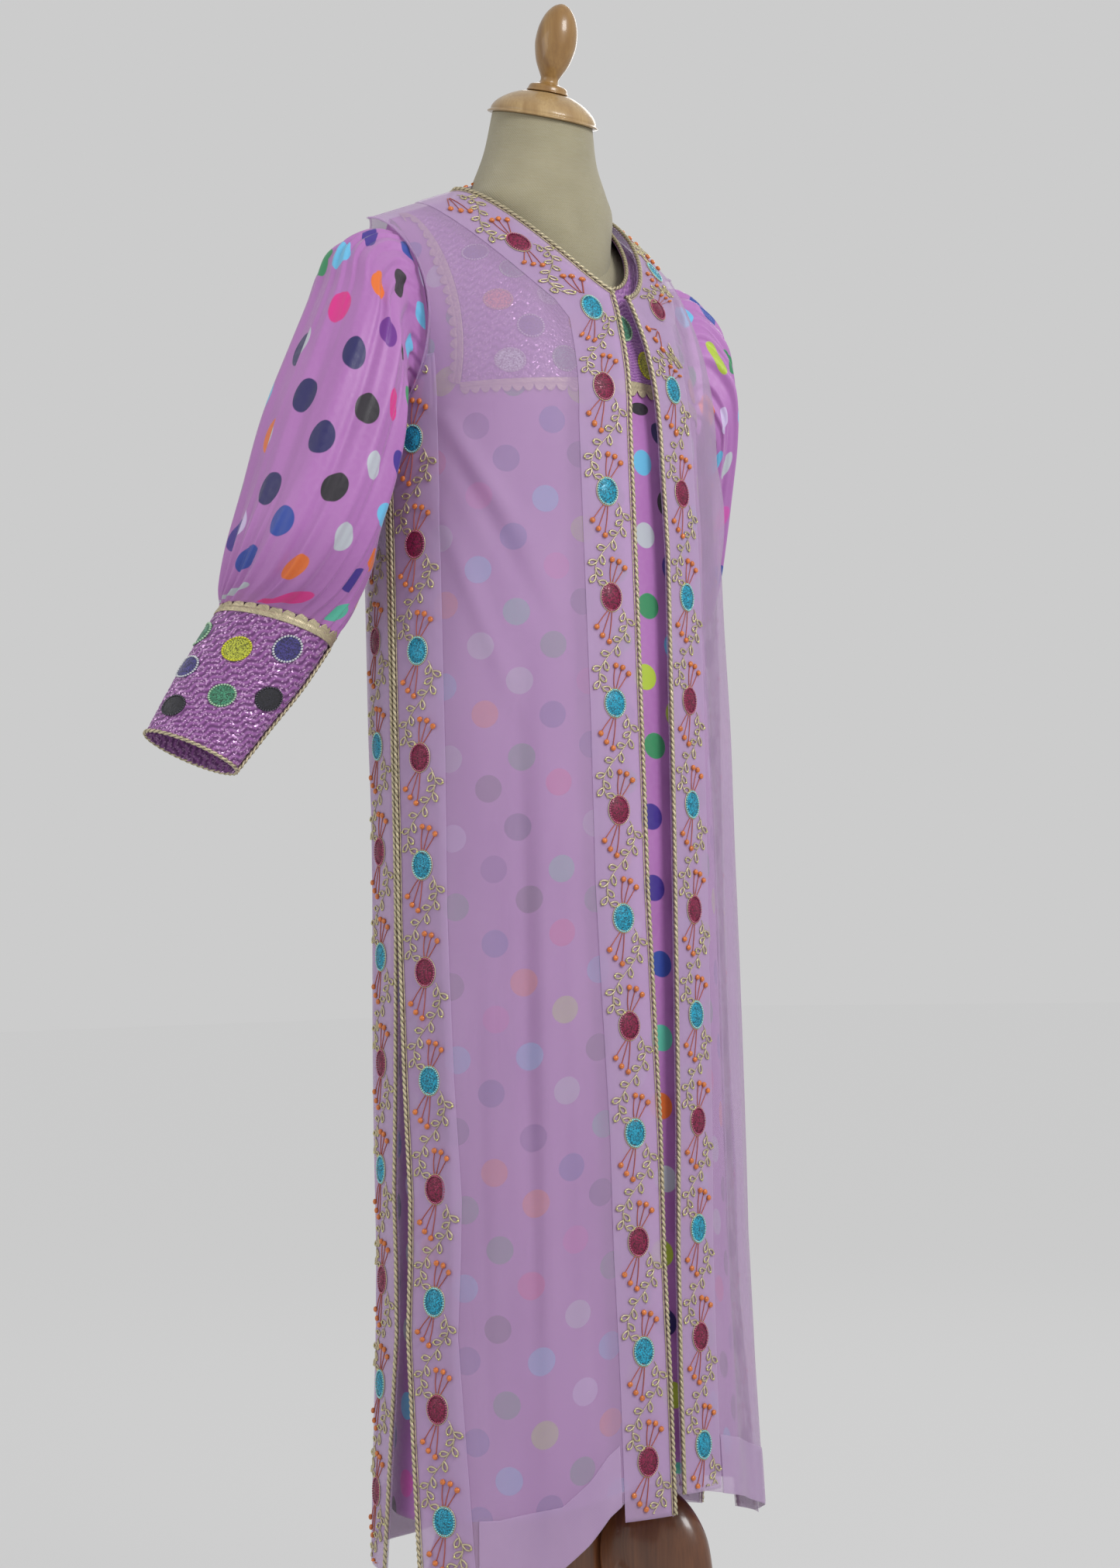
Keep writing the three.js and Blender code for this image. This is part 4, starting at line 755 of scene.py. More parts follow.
def gold_thread(name, colour, metal=0.65, strands=None):
    """Metallic gold thread, a little tarnished, wound fine. strands gives the radius and the pitch of a cord
    of two strands, with painted shade that darkens the grooves between them."""
    material, shader = surface(name, colour, 0.38, Metallic=metal)
    uv = node(material, "UVMap", {})
    tarnish = node(material, "TexNoise", {"Vector": uv, "Scale": 400.0, "Detail": 3.0})
    tone = blend(material, tarnish, srgb(*(0.62 * np.array(colour))),
                 srgb(*np.minimum(255, 1.25 * np.array(colour))))
    if strands:
        radius, pitch = np.array(strands) * MM
        split = node(material, "SeparateXYZ", {0: uv}).node.outputs
        turned_by = sum_of(material, "SUBTRACT", sum_of(material, "MULTIPLY", split[0], 2 / radius),
                           sum_of(material, "MULTIPLY", split[1], 2 * np.pi / pitch))
        # painted shade: the colour is darkened in the grooves between the two strands
        groove = node(material, "MapRange", {
            0: sum_of(material, "COSINE", turned_by), 1: -0.95, 2: -0.2, 3: 0.8, 4: 0.0})
        tone = blend(material, groove, tone, srgb(*(0.4 * np.array(colour))))
    link(material, tone, shader, "Base Color")
    wound = node(material, "TexNoise", {
        "Vector": node(material, "Mapping", {0: uv, 3: (1, 3, 1)}), "Scale": 1600.0})
    link(material, bump(material, wound, 0.5, 0.0003), shader, "Normal")
    return material


GOLD = gold_thread("gold_thread", (196, 184, 152), 0.5)
CORD_RADIUS, CORD_TWIST = 1.5, 5.0
GOLD_CORD = gold_thread("gold_cord", (196, 184, 152), 0.5, (CORD_RADIUS, CORD_TWIST))
LACE = {"pitch": 10.0, "least": 5.0, "most": 11.0}


def lace_relief(s, t):
    """Height of the lace: a woven braid along its head, then fans of raised threads."""
    braid = 0.35 * (1 - smooth((t - 4.2) / 0.8)) * (1 + 0.5 * np.sin(2 * np.pi * s / 1.6))
    groove = -0.45 * np.exp(-((t - 4.8) / 0.5) ** 2)
    across = (s / LACE["pitch"] % 1 - 0.5) * LACE["pitch"]
    fan = np.arctan2(across, t - 3.0)
    threads = 0.3 * smooth((t - 5.5) / 1.0) * np.cos(fan * 9) ** 2
    return braid + groove + threads


def lace_edge(s):
    """Depth of the lace along its length: one scallop a pitch."""
    scallop = np.abs(np.sin(np.pi * s / LACE["pitch"])) ** 0.55
    return LACE["least"] + (LACE["most"] - LACE["least"]) * scallop


DOT_RADIUS = 11.0
DOT_TONES = {"green": ((44, 104, 78), (150, 190, 150)), "silver": ((158, 170, 164), (216, 226, 220)),
             "indigo": ((44, 38, 96), (178, 184, 214)), "lime": ((142, 146, 40), (206, 196, 30)),
             "black": ((16, 16, 24), (40, 40, 48)), "orange": ((206, 96, 40), (224, 150, 90))}


def bead_ball(cuts=2):
    """A round bead as a cube's faces, each cut into cuts by cuts and pushed out to a sphere, so
    that it is all four-sided faces."""
    w = np.linspace(-1, 1, cuts + 1)
    a, b = np.meshgrid(w, w, indexing="ij")
    points, faces = [], []
    for axis in range(3):
        for sign in (-1, 1):
            grid = np.empty((cuts + 1, cuts + 1, 3))
            grid[..., axis], grid[..., (axis + 1) % 3], grid[..., (axis + 2) % 3] = sign, a, b
            quads = grid_faces(cuts + 1, cuts + 1)[0]
            faces.append((quads if sign > 0 else quads[:, ::-1]) + len(points) * (cuts + 1) ** 2)
            points.append(grid.reshape(-1, 3))
    points = unit(np.concatenate(points))
    _, first, number = np.unique(np.round(points, 5), axis=0, return_index=True, return_inverse=True)
    return points[first], number.ravel()[np.concatenate(faces)][:, ::-1]


def scatter(shape, places, sizes):
    """Copies of a shape at flat places (x, y, height), each with its own size (x, y, height)."""
    points, faces = shape
    places = np.asarray(places, float)
    sizes = np.broadcast_to(np.asarray(sizes, float), (len(places), 3))
    many = places[:, None] + sizes[:, None] * points[None]
    offset = (np.arange(len(places)) * len(points))[:, None, None]
    return many.reshape(-1, 3), (faces[None] + offset).reshape(-1, faces.shape[1])


def gather(parts):
    """Several (points, faces, material number) joined into one, with the materials' numbers."""
    offset, points, faces, pick = 0, [], [], []
    for p, f, number in parts:
        points.append(p)
        faces.append(f + offset)
        pick.append(np.full(len(f), number))
        offset += len(p)
    return np.concatenate(points), np.concatenate(faces), np.concatenate(pick)


def disc(radius, height, crown, steps=4, sides=24):
    """A low dome on a flat place: rings from its rim to its middle."""
    r = np.linspace(1, 0.03, steps)[:, None]
    theta = np.linspace(0, 2 * np.pi, sides + 1)[None, :]
    grid = np.stack([radius * r * np.cos(theta), radius * r * np.sin(theta),
                     height + crown * (1 - r ** 2) + 0 * theta], -1)
    return grid[:, :-1].reshape(-1, 3), grid_faces(steps, sides + 1, True)[1]


def beads(name, colour, metal=0.0, roughness=0.18):
    """Glass beads: glossy, each patch a little lighter or darker."""
    material, shader = surface(name, colour, roughness, Metallic=metal, Coat_Weight=0.4)
    patch = node(material, "TexNoise", {"Vector": node(material, "TexCoord", {}, 3), "Scale": 500.0})
    tone = blend(material, patch, srgb(*(0.55 * np.array(colour))),
                 srgb(*np.minimum(255, 1.35 * np.array(colour) + 12)))
    link(material, tone, shader, "Base Color")
    return material


def stitched_dot(name, colour, sheen=0.3):
    """A dot filled with close satin stitches and flecks of glitter."""
    material, shader = surface(name, colour, 0.5, Sheen_Weight=sheen)
    place = node(material, "TexCoord", {}, 3)
    flecks = node(material, "TexVoronoi", {"Vector": place, "Scale": 1100.0}, 1)
    fleck = node(material, "SeparateColor", {0: flecks})
    tone = blend(material, fleck, srgb(*(0.55 * np.array(colour))),
                 srgb(*np.minimum(255, 1.35 * np.array(colour) + 14)))
    link(material, tone, shader, "Base Color")
    link(material, node(material, "MapRange", {0: fleck, 1: 0.7, 2: 1.0, 3: 0.6, 4: 0.2}), shader,
         "Roughness")
    link(material, bump(material, fleck, 0.6, 0.0004), shader, "Normal")
    return material


DOT_MATERIALS = []
for tone_name, (fill, rim) in DOT_TONES.items():
    DOT_MATERIALS += [stitched_dot(f"dot_{tone_name}", fill), beads(f"beads_{tone_name}", rim)]
TONE_NUMBER = {tone_name: 2 * k for k, tone_name in enumerate(DOT_TONES)}
RIM = np.linspace(0, 2 * np.pi, 31)[:-1]


def beaded_dots(dots, to_points, radius=DOT_RADIUS):
    """Dots with beaded rims on flat places (x, y, colour), carried onto the cloth by to_points."""
    parts = []
    for x, y, tone_name in dots:
        centre = np.array([x, y, 0])
        dome, faces = disc(radius, 0.1, 0.5)
        parts.append((dome + centre, faces, TONE_NUMBER[tone_name]))
        places = centre + np.stack([(radius - 0.9) * np.cos(RIM), (radius - 0.9) * np.sin(RIM),
                                    0.6 + 0 * RIM], -1)
        ball, ball_faces = scatter(bead_ball(), places, (0.95, 0.95, 0.8))
        parts.append((ball, ball_faces, TONE_NUMBER[tone_name] + 1))
    points, faces, pick = gather(parts)
    return to_points(points), faces, pick


YOKE_DOTS = [  # x from the middle, y up from the yoke's lower edge, colour
    (-106, 18, "silver"), (-64, 17, "green"), (-21, 16, "indigo"), (22, 17, "lime"), (65, 17, "silver"),
    (107, 18, "orange"), (-86, 47, "indigo"), (-43, 46, "orange"), (1, 44, "green"), (44, 46, "silver"),
    (87, 47, "green"), (-104, 76, "orange"), (-62, 75, "silver"), (64, 76, "orange"), (105, 76, "indigo"),
    (-84, 106, "green"), (86, 106, "silver"), (-106, 134, "indigo"), (106, 134, "green"),
]
dots, faces, pick = beaded_dots(YOKE_DOTS, lambda flat: off_layer(
    DRESS, -np.pi / 2 + np.arcsin(flat[..., 0] / DRESS["top"]), YOKE_RISE + flat[..., 1] / stretch,
    1.7 + flat[..., 2]))
applied = sew("beaded_dots_yoke", dots, faces, DOT_MATERIALS, pick=pick)

yoke_sides = [(angle[:, column].copy(), rise[:, column].copy(), side)
              for column, side in ((0, 1), (-1, -1))]
yoke_angles = angle[0]
edge_length = np.linalg.norm(np.diff(points[0], axis=0), axis=-1).sum()
s = np.linspace(0, edge_length, 420)
t = np.linspace(0, 1, 14)[:, None]
depth = t * lace_edge(s)
edge_angle = np.interp(s, np.linspace(0, edge_length, len(yoke_angles)), yoke_angles)
lace = off_layer(DRESS, edge_angle[None, :], YOKE_RISE + 1.0 - depth / stretch,
                 1.7 + lace_relief(s[None, :], depth))
trim = weave("gold_lace_yoke", lace, metres_of_cloth(lace), GOLD)
lay(trim, lace, "yoke_trim")

for edge_angle, edge_rise, side in yoke_sides:
    strip = strip_beside(DRESS, edge_angle, edge_rise, side, 14)
    s = np.linspace(0, strip["s"][-1], 260)[None, :]
    taper = np.clip((strip["s"][-1] - s) / 60, 0.45, 1)
    depth = np.linspace(0, 1, 14)[:, None] * lace_edge(s) * taper
    lace = off_layer(DRESS, *strip_places(strip, s + 0 * depth, depth), 1.7 + lace_relief(s, depth))
    if side > 0:
        lace = lace[:, ::-1]
    side_name = "right" if side > 0 else "left"
    trim = weave(f"gold_lace_yoke_{side_name}", lace, metres_of_cloth(lace), GOLD)
    lay(trim, lace)

x = NECK_FRONT_DRESS[0] * np.sin(np.linspace(-np.pi / 2, np.pi / 2, 300)) * 0.995
angle, rise = neck_line(DRESS, NECK_FRONT_DRESS, x, True)
angle, rise = angle[rise < RISE - 40], rise[rise < RISE - 40]
edge = off_layer(DRESS, angle, rise, np.full(rise.shape, 2.6))
out = edge - off_layer(DRESS, angle, rise, np.zeros(rise.shape))
piping = cord_along("gold_cord_dress_neck", edge, out, CORD_RADIUS, GOLD_CORD, CORD_TWIST, 10)
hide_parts("dress_neck_piping")

# ---------------------------------------------------------------- puff sleeves
# Dotted satin tubes, full at the elbow. Each is set into the armhole with small knife pleats and
# pleated again into its cuff, so that the folds die away towards the middle of the arm.
SLEEVES = {  # outer point (out, drop, y), inner point (out, drop, y) and half-width of each oval
    "right": [
        (157, 50, 12, 150.5, 212.3, 2, 34), (182, 53, 12, 166, 195, 2, 37), (212, 72, 11, 178, 216, 2, 51),
        (228, 106, 7, 182, 230, 3, 62), (251, 156, 7, 184, 254, 4, 68), (272, 212, 15, 185, 281, 11, 71),
        (286, 270, 28, 186, 310, 15, 71), (294, 318, 46, 189, 342, 20, 66), (292, 350, 66, 197, 371, 28, 52),
        (283, 366, 86, 210, 393, 29, 33),
    ],
    "left": [
        (157, 50, 12, 150.5, 212.3, 2, 34), (181, 53, 12, 166, 195, 2, 37), (206, 74, 14, 178, 216, 8, 49),
        (221, 112, 25, 180, 230, 20, 58), (233, 162, 42, 180, 255, 34, 63), (238, 218, 60, 180, 282, 48, 65),
        (242, 273, 78, 179, 311, 62, 65), (246, 320, 96, 180, 342, 74, 61), (247, 352, 113, 187, 370, 82, 50),
        (243, 372, 124, 194, 391, 78, 33),
    ],
}
PLEATS = 24
PLEAT_DEPTH = [(0, 0.6), (0.6, 1.5), (1.2, 1.7), (2.2, 2.0), (3.2, 1.0), (4.5, 0.2), (6, 0.4), (7, 1.8),
               (8, 2.6), (8.6, 2.2), (9, 0.9)]          # ring of the sleeve, depth of its pleats
SLEEVE_CREASES = [  # degrees round, from ring, to ring, spread, depth: long soft pleats
    (18, 1.0, 8.8, 7, 3.2), (48, 1.4, 8.9, 6, -3.4), (80, 1.0, 8.7, 8, 3.4), (115, 1.6, 8.9, 6, -3.4),
    (146, 1.2, 8.6, 8, 2.6), (190, 1.5, 8.8, 8, 1.6), (217, 1.2, 8.9, 5.5, -3.6),
    (236, 1.2, 8.9, 6.5, 3.8), (255, 1.5, 8.9, 5.0, -4.2), (274, 1.0, 8.8, 6.5, 4.0),
    (295, 1.3, 8.9, 5.0, -4.0), (314, 1.2, 8.7, 6.5, 3.6), (336, 1.6, 8.6, 5.5, -3.2),
]


def arm_axes(sign, rows):
    """Middle, long axis and its half-length, and wide axis of each oval of a sleeve or cuff."""
    a = np.stack([sign * rows[:, 0], rows[:, 2], NECK_Z - rows[:, 1]], -1)
    b = np.stack([sign * rows[:, 3], rows[:, 5], NECK_Z - rows[:, 4]], -1)
    middle = (a + b) / 2
    length = np.linalg.norm(a - middle, axis=-1)
    long = (a - middle) / length[:, None]
    wide = np.array([0, 1.0, 0]) - long * long[:, 1:2]
    return middle, long, length, unit(wide)


def on_arm(sign, rows, turn, grow):
    """Points of a sleeve or cuff: an oval for each row, grown outwards by grow."""
    middle, long, length, wide = arm_axes(sign, rows)
    return (middle[:, None] + long[:, None] * ((length[:, None] + grow) * np.cos(turn))[..., None]
            + wide[:, None] * ((rows[:, 6:7] + grow) * np.sin(turn))[..., None])


def pleat_wave(turn):
    """Knife pleats round an arm: ridges that lean, unevenly spaced."""
    wander = turn + 0.05 * np.sin(3 * turn + 1) + 0.03 * np.sin(7 * turn + 2)
    phase = PLEATS * wander
    return np.sin(phase + 0.6 * np.sin(phase))


def armhole_points(sign, turn):
    """The dress's armhole, found at each turn of the sleeve's head: top at the shoulder seam,
    bottom at the underarm, one half on the front panel and one on the back."""
    rise = RISE_END * (0.5 + 0.5 * np.cos(turn))
    bite = armhole_bite(DRESS, rise) + DRESS_SIDE
    back = np.sin(turn) > 0
    angle = np.where(back, bite, -bite)
    if sign < 0:
        angle = np.where(back, np.pi - bite, -np.pi + bite)
    return off_layer(DRESS, angle, rise, np.full(turn.shape, 0.9))


turn = np.linspace(0, 2 * np.pi, 24 * 9 + 1)
for side_name, sign in (("right", -1), ("left", 1)):
    ring = np.linspace(0, 9, 124)
    rows = spline(SLEEVES[side_name], ring)
    depth = np.interp(ring, *zip(*PLEAT_DEPTH))[:, None]
    grow = depth * pleat_wave(turn) + 0.6
    for at, first, last, spread, deep in SLEEVE_CREASES:
        away = (np.degrees(turn) - at + 180) % 360 - 180
        along = np.clip((ring - first) / (last - first), 0, 1)[:, None]
        grow = grow + deep * np.sin(np.pi * along) ** 0.55 * np.exp(-((away / spread) ** 2))
    tube = on_arm(sign, rows, turn[None, :], grow)
    head = armhole_points(sign, turn)
    share = smooth(np.linspace(0, 1, 12)[:-1])[:, None, None]
    tube = np.concatenate([head * (1 - share) + tube[0] * share, tube])
    if sign > 0:
        tube = tube[:, ::-1]
    flat = metres_of_cloth(tube)
    sleeve = weave(f"satin_sleeve_{side_name}", tube, flat, SATIN, closed=True)
    lay(sleeve, tube, f"sleeve_{side_name}")

# ---------------------------------------------------------------- cuffs
# Deep funnel cuffs of the quilted purple cloth, wrapped over at a slit on the under side. Each
# has dots of stitching with beaded rims, gold lace over its head seam and a gold cord round its end.
CUFFS = {
    "right": [(303, 402, 99, 235, 434, 42, 25), (321, 437, 109, 259, 468, 56, 22),
              (337, 470, 117, 283, 502, 69, 20)],
    "left": [(253, 414, 134, 201, 432, 88, 25), (258, 450, 142, 210, 468, 99, 22),
             (262, 486, 149, 218, 503, 110, 20)],
}
CUFF_OVERLAP = 0.045                # share of the way round that the cuff laps over itself
CUFF_DOTS = [  # share of the way round from the slit, share of the length, colour
    (0.10, 0.80, "silver"), (0.20, 0.28, "lime"), (0.26, 0.62, "silver"), (0.36, 0.16, "silver"),
    (0.40, 0.48, "lime"), (0.43, 0.82, "silver"), (0.52, 0.22, "green"), (0.56, 0.48, "indigo"),
    (0.60, 0.78, "black"), (0.70, 0.30, "lime"), (0.75, 0.62, "green"), (0.85, 0.20, "indigo"),
    (0.90, 0.52, "black"),
]
CUFF_TURN = np.linspace(0, 2 * np.pi, 361)
CUFF_ROWS = 3.0                     # from the sleeve's last oval to the cuff's end
DIAGONAL = 0.7071                   # the quilting runs on the bias
SLIT_TOP = 8.0                      # the lace lies over the top of the cuff's slit


def cuff_from(side_name, sign):
    """A cuff: its table of ovals, headed by the sleeve's last one a seam further down, its length,
    and the distance round it at each turn."""
    last = np.array([SLEEVES[side_name][-1]], float)
    middle, long, length, wide = arm_axes(sign, last)
    down = np.cross(long, wide)[0]
    down = -down if down[2] > 0 else down
    shift = SEAM * np.array([sign * down[0], -down[2], down[1]] * 2 + [0])
    table = np.concatenate([last + shift, np.array(CUFFS[side_name], float)])
    ring = on_arm(sign, spline(table, np.array([CUFF_ROWS / 2])), CUFF_TURN[None, :], 0.0)[0]
    steps = np.linalg.norm(np.diff(ring, axis=0), axis=-1)
    centres = arm_axes(sign, spline(table, np.linspace(0, CUFF_ROWS, 60)))[0]
    return {"sign": sign, "table": table, "round": np.concatenate([[0], np.cumsum(steps)]),
            "length": np.linalg.norm(np.diff(centres, axis=0), axis=-1).sum()}


def on_cuff(cuff, flat):
    """Points of a cuff at flat places: x round it from the slit, y up from its end, and a height.
    The slit is at the inner point of the oval."""
    x, y, height = flat[..., 0], flat[..., 1], flat[..., 2]
    from_slit = np.interp(x % cuff["round"][-1], cuff["round"], CUFF_TURN)
    turn = (np.pi + cuff["sign"] * from_slit).ravel()[:, None]
    rows = spline(cuff["table"], ((1 - y / cuff["length"]) * CUFF_ROWS).ravel())
    middle, long, length, wide = arm_axes(cuff["sign"], rows)
    grow = height.ravel()[:, None]
    points = (middle + long * ((length[:, None] + grow) * np.cos(turn))
              + wide * ((rows[:, 6:7] + grow) * np.sin(turn)))
    return points.reshape(flat.shape)


for side_name, sign in (("right", -1), ("left", 1)):
    shape = cuff_from(side_name, sign)
    perimeter, cuff_length = shape["round"][-1], shape["length"]
    x = np.linspace(0, perimeter * (1 + CUFF_OVERLAP), 200)[None, :]
    y = np.linspace(0, cuff_length, 110)[:, None]
    flat = np.stack(np.broadcast_arrays(x, y, 0.0), -1)
    lap = -1.5 * smooth((x / perimeter - 0.97) / 0.03)
    across, up = flat[..., 0] + flat[..., 1], flat[..., 1] - flat[..., 0]
    slanted = np.stack([across * DIAGONAL, up * DIAGONAL], -1) * MM
    flat[..., 2] = 0.2 + quilt_relief(slanted, 0.7) + lap
    points = on_cuff(shape, flat)
    uv = slanted
    if sign > 0:
        points, uv = points[:, ::-1], uv[:, ::-1]
    cuff = weave(f"quilted_cuff_{side_name}", points, uv, QUILTED)
    lay(cuff, points,
        f"cuff_{side_name}", wall=0.8)

    dots = [(a * perimeter, (1 - b) * cuff_length, tone_name) for a, b, tone_name in CUFF_DOTS]
    dot_points, faces, pick = beaded_dots(dots, lambda p, c=shape: on_cuff(c, p + (0, 0, 1.0)))
    if sign > 0:
        faces = faces[:, ::-1]
    applied = sew(f"beaded_dots_cuff_{side_name}", dot_points, faces, DOT_MATERIALS, pick=pick)

    s = np.linspace(0, perimeter, 400)[None, :]
    depth = np.linspace(0, 1, 14)[:, None] * lace_edge(s)
    flat = np.stack([s + 0 * depth, cuff_length - SLIT_TOP + depth, 1.2 + lace_relief(s, depth)], -1)
    lace = on_cuff(shape, flat)
    lace = lace if sign < 0 else lace[:, ::-1]
    lace[:, -1] = lace[:, 0]
    trim = weave(f"gold_lace_cuff_{side_name}", lace, metres_of_cloth(lace), GOLD, closed=True)
    lay(trim, lace, f"cuff_trim_{side_name}")

    x = np.concatenate([np.zeros(90), np.linspace(0, perimeter, 330)[1:]])
    y = np.concatenate([np.linspace(cuff_length - SLIT_TOP, 0, 90), np.zeros(329)])
    flat = np.stack([x, y + 0.5, 0 * x + 1.2], -1)
    edge = on_cuff(shape, flat)
    out = on_cuff(shape, flat + (0, 0, 1)) - edge
    cord = cord_along(f"gold_cord_cuff_{side_name}", edge, out, 1.4, GOLD_CORD, CORD_TWIST)
    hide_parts(f"cuff_piping_{side_name}")

# ---------------------------------------------------------------- sheer over-thobe
# Lilac chiffon so thin that the dots of the dress show through it: two fronts that don't meet and
# a back, joined at the shoulders and under the arms, with no sleeves. Its armholes are rolled.
OUTER = {
    "lower": 0.0, "top": 176.0,
    "sections": [(212, 170, 128, 2), (330, 170, 131, 1), (560, 170, 132, 0), (900, 172, 133, 0),
                 (1152, 181, 142, 0)],
    "folds": [(-123, 9, 4.5, 330), (-140, 8, -3.5, 420), (-56, 7, -3.5, 360), (-42, 7, 3.5, 330),
              (37, 8, -3.5, 430), (54, 9, 4.5, 300), (71, 9, -4, 360), (90, 9, 4.5, 260),
              (109, 9, -4, 400), (126, 9, 4.5, 320), (143, 8, -3.5, 450)],
    "hem": [(-180, 0), (-145, 2), (-127, 12), (-120, 29), (-114, 48), (-107, 62), (-100, 54), (-94, 40),
            (-91, 62), (-78, 53), (-60, 40), (-45, 26), (-25, 10), (0, 4), (60, 0), (180, 0)],
    "bite": (27, 0.55),
    "creases": [  # from (degrees, drop), to (degrees, drop), width, depth
        (-158, 205, -128, 330, 9, 4.9), (-154, 240, -122, 400, 8, -3.3), (-160, 280, -132, 470, 9, 3.5),
        (-127, 390, -130, 1120, 9, 6.0), (-135, 420, -133, 1000, 7, -3.9), (-121, 520, -119, 1120, 6, 3.1),
        (-113, 470, -112, 930, 6, -2.2), (-160, 500, -157, 1100, 9, 4.2), (-150, 620, -148, 1120, 7, -2.7),
        (-22, 205, -50, 330, 9, 4.5), (-26, 250, -58, 400, 8, -3.0), (-66, 330, -64, 1100, 7, 4.5),
        (-50, 420, -49, 1080, 7, -4.2), (-36, 520, -34, 1110, 8, 4.2), (-20, 420, -22, 1090, 8, -3.0),
        (22, 215, 52, 340, 9, 4.5), (158, 215, 128, 350, 9, 4.5), (28, 420, 30, 1110, 8, 4.2),
        (46, 360, 45, 1060, 7, -3.6), (63, 460, 62, 1120, 7, 3.9), (82, 330, 81, 1100, 7, -3.6),
        (99, 480, 100, 1110, 7, 4.2), (117, 350, 118, 1070, 7, -3.3), (135, 470, 134, 1120, 8, 4.2),
        (152, 400, 150, 1080, 8, -3.0),
    ],
}
NECK_FRONT = (79.0, 104.0, 1.7)
NECK_BACK = (79.0, 24.0, 2.4)
FRONT_EDGES = {
    "right": [(100, -8), (160, -14), (220, -17), (320, -18), (600, -16), (800, -9.5), (1000, -9),
              (1152, -11)],
    "left": [(100, -2), (160, 8), (220, 14), (320, 16), (600, 11), (800, 7), (1000, -1), (1152, -5)],
}
SIDE_GAPS = [(212, 0.4), (620, 0.4), (760, 4), (850, 8), (960, 5), (1152, 19)]


def front_edge(side_name, rise):
    """Angle of a front edge at a rise, from its table of x at each drop."""
    arch = np.maximum(0, rise) / RISE * np.pi / 2
    drop = CHEST_DROP - np.minimum(0, rise) - (CHEST_DROP - 20) * np.sin(arch)
    x = np.interp(drop, *zip(*FRONT_EDGES[side_name]))
    return -np.pi / 2 + np.arcsin(x / OUTER["sections"][0][1])


def side_edge(rise):
    """Half the angle between the front and back panels at the side, at a rise."""
    gap = np.interp(CHEST_DROP - np.minimum(0, rise), *zip(*SIDE_GAPS))
    return gap / OUTER["sections"][0][2]


def chiffon(name, colour, shade, alpha):
    """Sheer plain-woven chiffon: matt and see-through, with painted shade of soft folds: long vertical
    streaks of a darker shade tone, laid at random.
    """
    material, shader = surface(name, colour, 0.75, Alpha=alpha, Sheen_Weight=0.5, Sheen_Roughness=0.4,
                               Specular_IOR_Level=0.25)
    uv = node(material, "UVMap", {})
    # painted shade: noise stretched up the cloth blends the colour into its shade tone in vertical streaks
    painted_fold_shade = node(material, "TexNoise", {
        "Vector": node(material, "Mapping", {0: uv, 3: (1, 0.25, 1)}), "Scale": 22.0, "Detail": 4.0})
    link(material, blend(material, painted_fold_shade, srgb(*shade), srgb(*colour)), shader, "Base Color")
    threads = thread_weave(material, uv, 1.7)
    link(material, bump(material, threads, 0.35, 0.0002), shader, "Normal")
    return material


# the second colour is the painted shade tone of the folds
CHIFFON = chiffon("lilac_chiffon", (212, 182, 220), (190, 158, 200), 0.36)
outer_corner = np.arccos(NECK_FRONT[0] / OUTER["top"]) / np.pi
PANELS = [  # name, left edge, right edge, neck, how far the armhole reaches in, columns
    ("front_right", lambda r: -np.pi + side_edge(r), lambda r: front_edge("right", r), NECK_FRONT,
     (2 * outer_corner, 0), 95),
    ("front_left", lambda r: front_edge("left", r), lambda r: -side_edge(r), NECK_FRONT,
     (0, 2 * outer_corner), 95),
    ("back", lambda r: side_edge(r), lambda r: np.pi - side_edge(r), NECK_BACK,
     (outer_corner, outer_corner), 151),
]
for name, left, right, neck, bite, columns in PANELS:
    angle, rise = panel(OUTER, left, right, neck, bite, columns, 196, 54)
    points = hung(OUTER, angle, rise, 0.9)
    sheet = weave(f"chiffon_{name}", points, metres_of_cloth(on_layer(OUTER, angle, rise)), CHIFFON)
    lay(sheet, points,
        f"thobe_{name}", wall=0.3)
    for at, end in ((0, "left"), (-1, "right")):
        if bite[0 if at == 0 else 1] > 0:
            above = rise[:, at] > 0
            edge = off_layer(OUTER, angle[above, at], rise[above, at], np.full(above.sum(), 1.0))
            out = edge - off_layer(OUTER, angle[above, at], rise[above, at], np.zeros(above.sum()))
            roll = cord_along(f"rolled_armhole_{name}_{end}", edge, out, 1.0, CHIFFON)

# ---------------------------------------------------------------- embroidered bands
# Doubled strips of paler chiffon, 50 wide, sewn down both front edges, round the neck and down
# both edges of each side slit, with a doubled hem between them. A line of stitches holds the inner edge.
BAND = 50.0
EDGE_ROOM = 3.4                     # width that the gold cord takes at the edge
CORNER_REACH = 90.0


def edge_rises(angle_at, top, steps):
    """Rises up an edge from its hem to a top, evenly spaced."""
    hem = hem_rise(OUTER, angle_at(np.array([HEM_RISE])))[0]
    return np.linspace(hem, top, steps)


BANDS = {}
for side_name, side, sign in (("right", 1, -1), ("left", -1, 1)):
    corner_x = np.interp(100, *zip(*FRONT_EDGES[side_name]))
    x = corner_x + (sign * NECK_HALF - corner_x) * (1 - (1 - np.linspace(0, 1, 90)) ** 1.6)
    neck_angle, neck_rise = neck_line(OUTER, NECK_FRONT, x, True)
    rise = edge_rises(lambda r, n=side_name: front_edge(n, r), neck_rise[0], 420)
    lower = strip_beside(OUTER, front_edge(side_name, rise), rise, side, BAND + 6)
    upper = strip_beside(OUTER, neck_angle, neck_rise, side, BAND + 6)
    length = (lower["s"][-1], upper["s"][-1])
    ends = [on_layer(OUTER, strip["angle"][k, 0], strip["rise"][k, 0]) for strip, k in
            ((lower, -6), (lower, -1), (upper, 0), (upper, 5))]
    heads = unit(ends[1] - ends[0]), unit(ends[3] - ends[2])
    BANDS[f"front_band_{side_name}"] = {
        "strips": (lower, upper), "length": length, "side": side,
        "mitre": np.tan(np.arccos((heads[0] * heads[1]).sum()) / 2)}

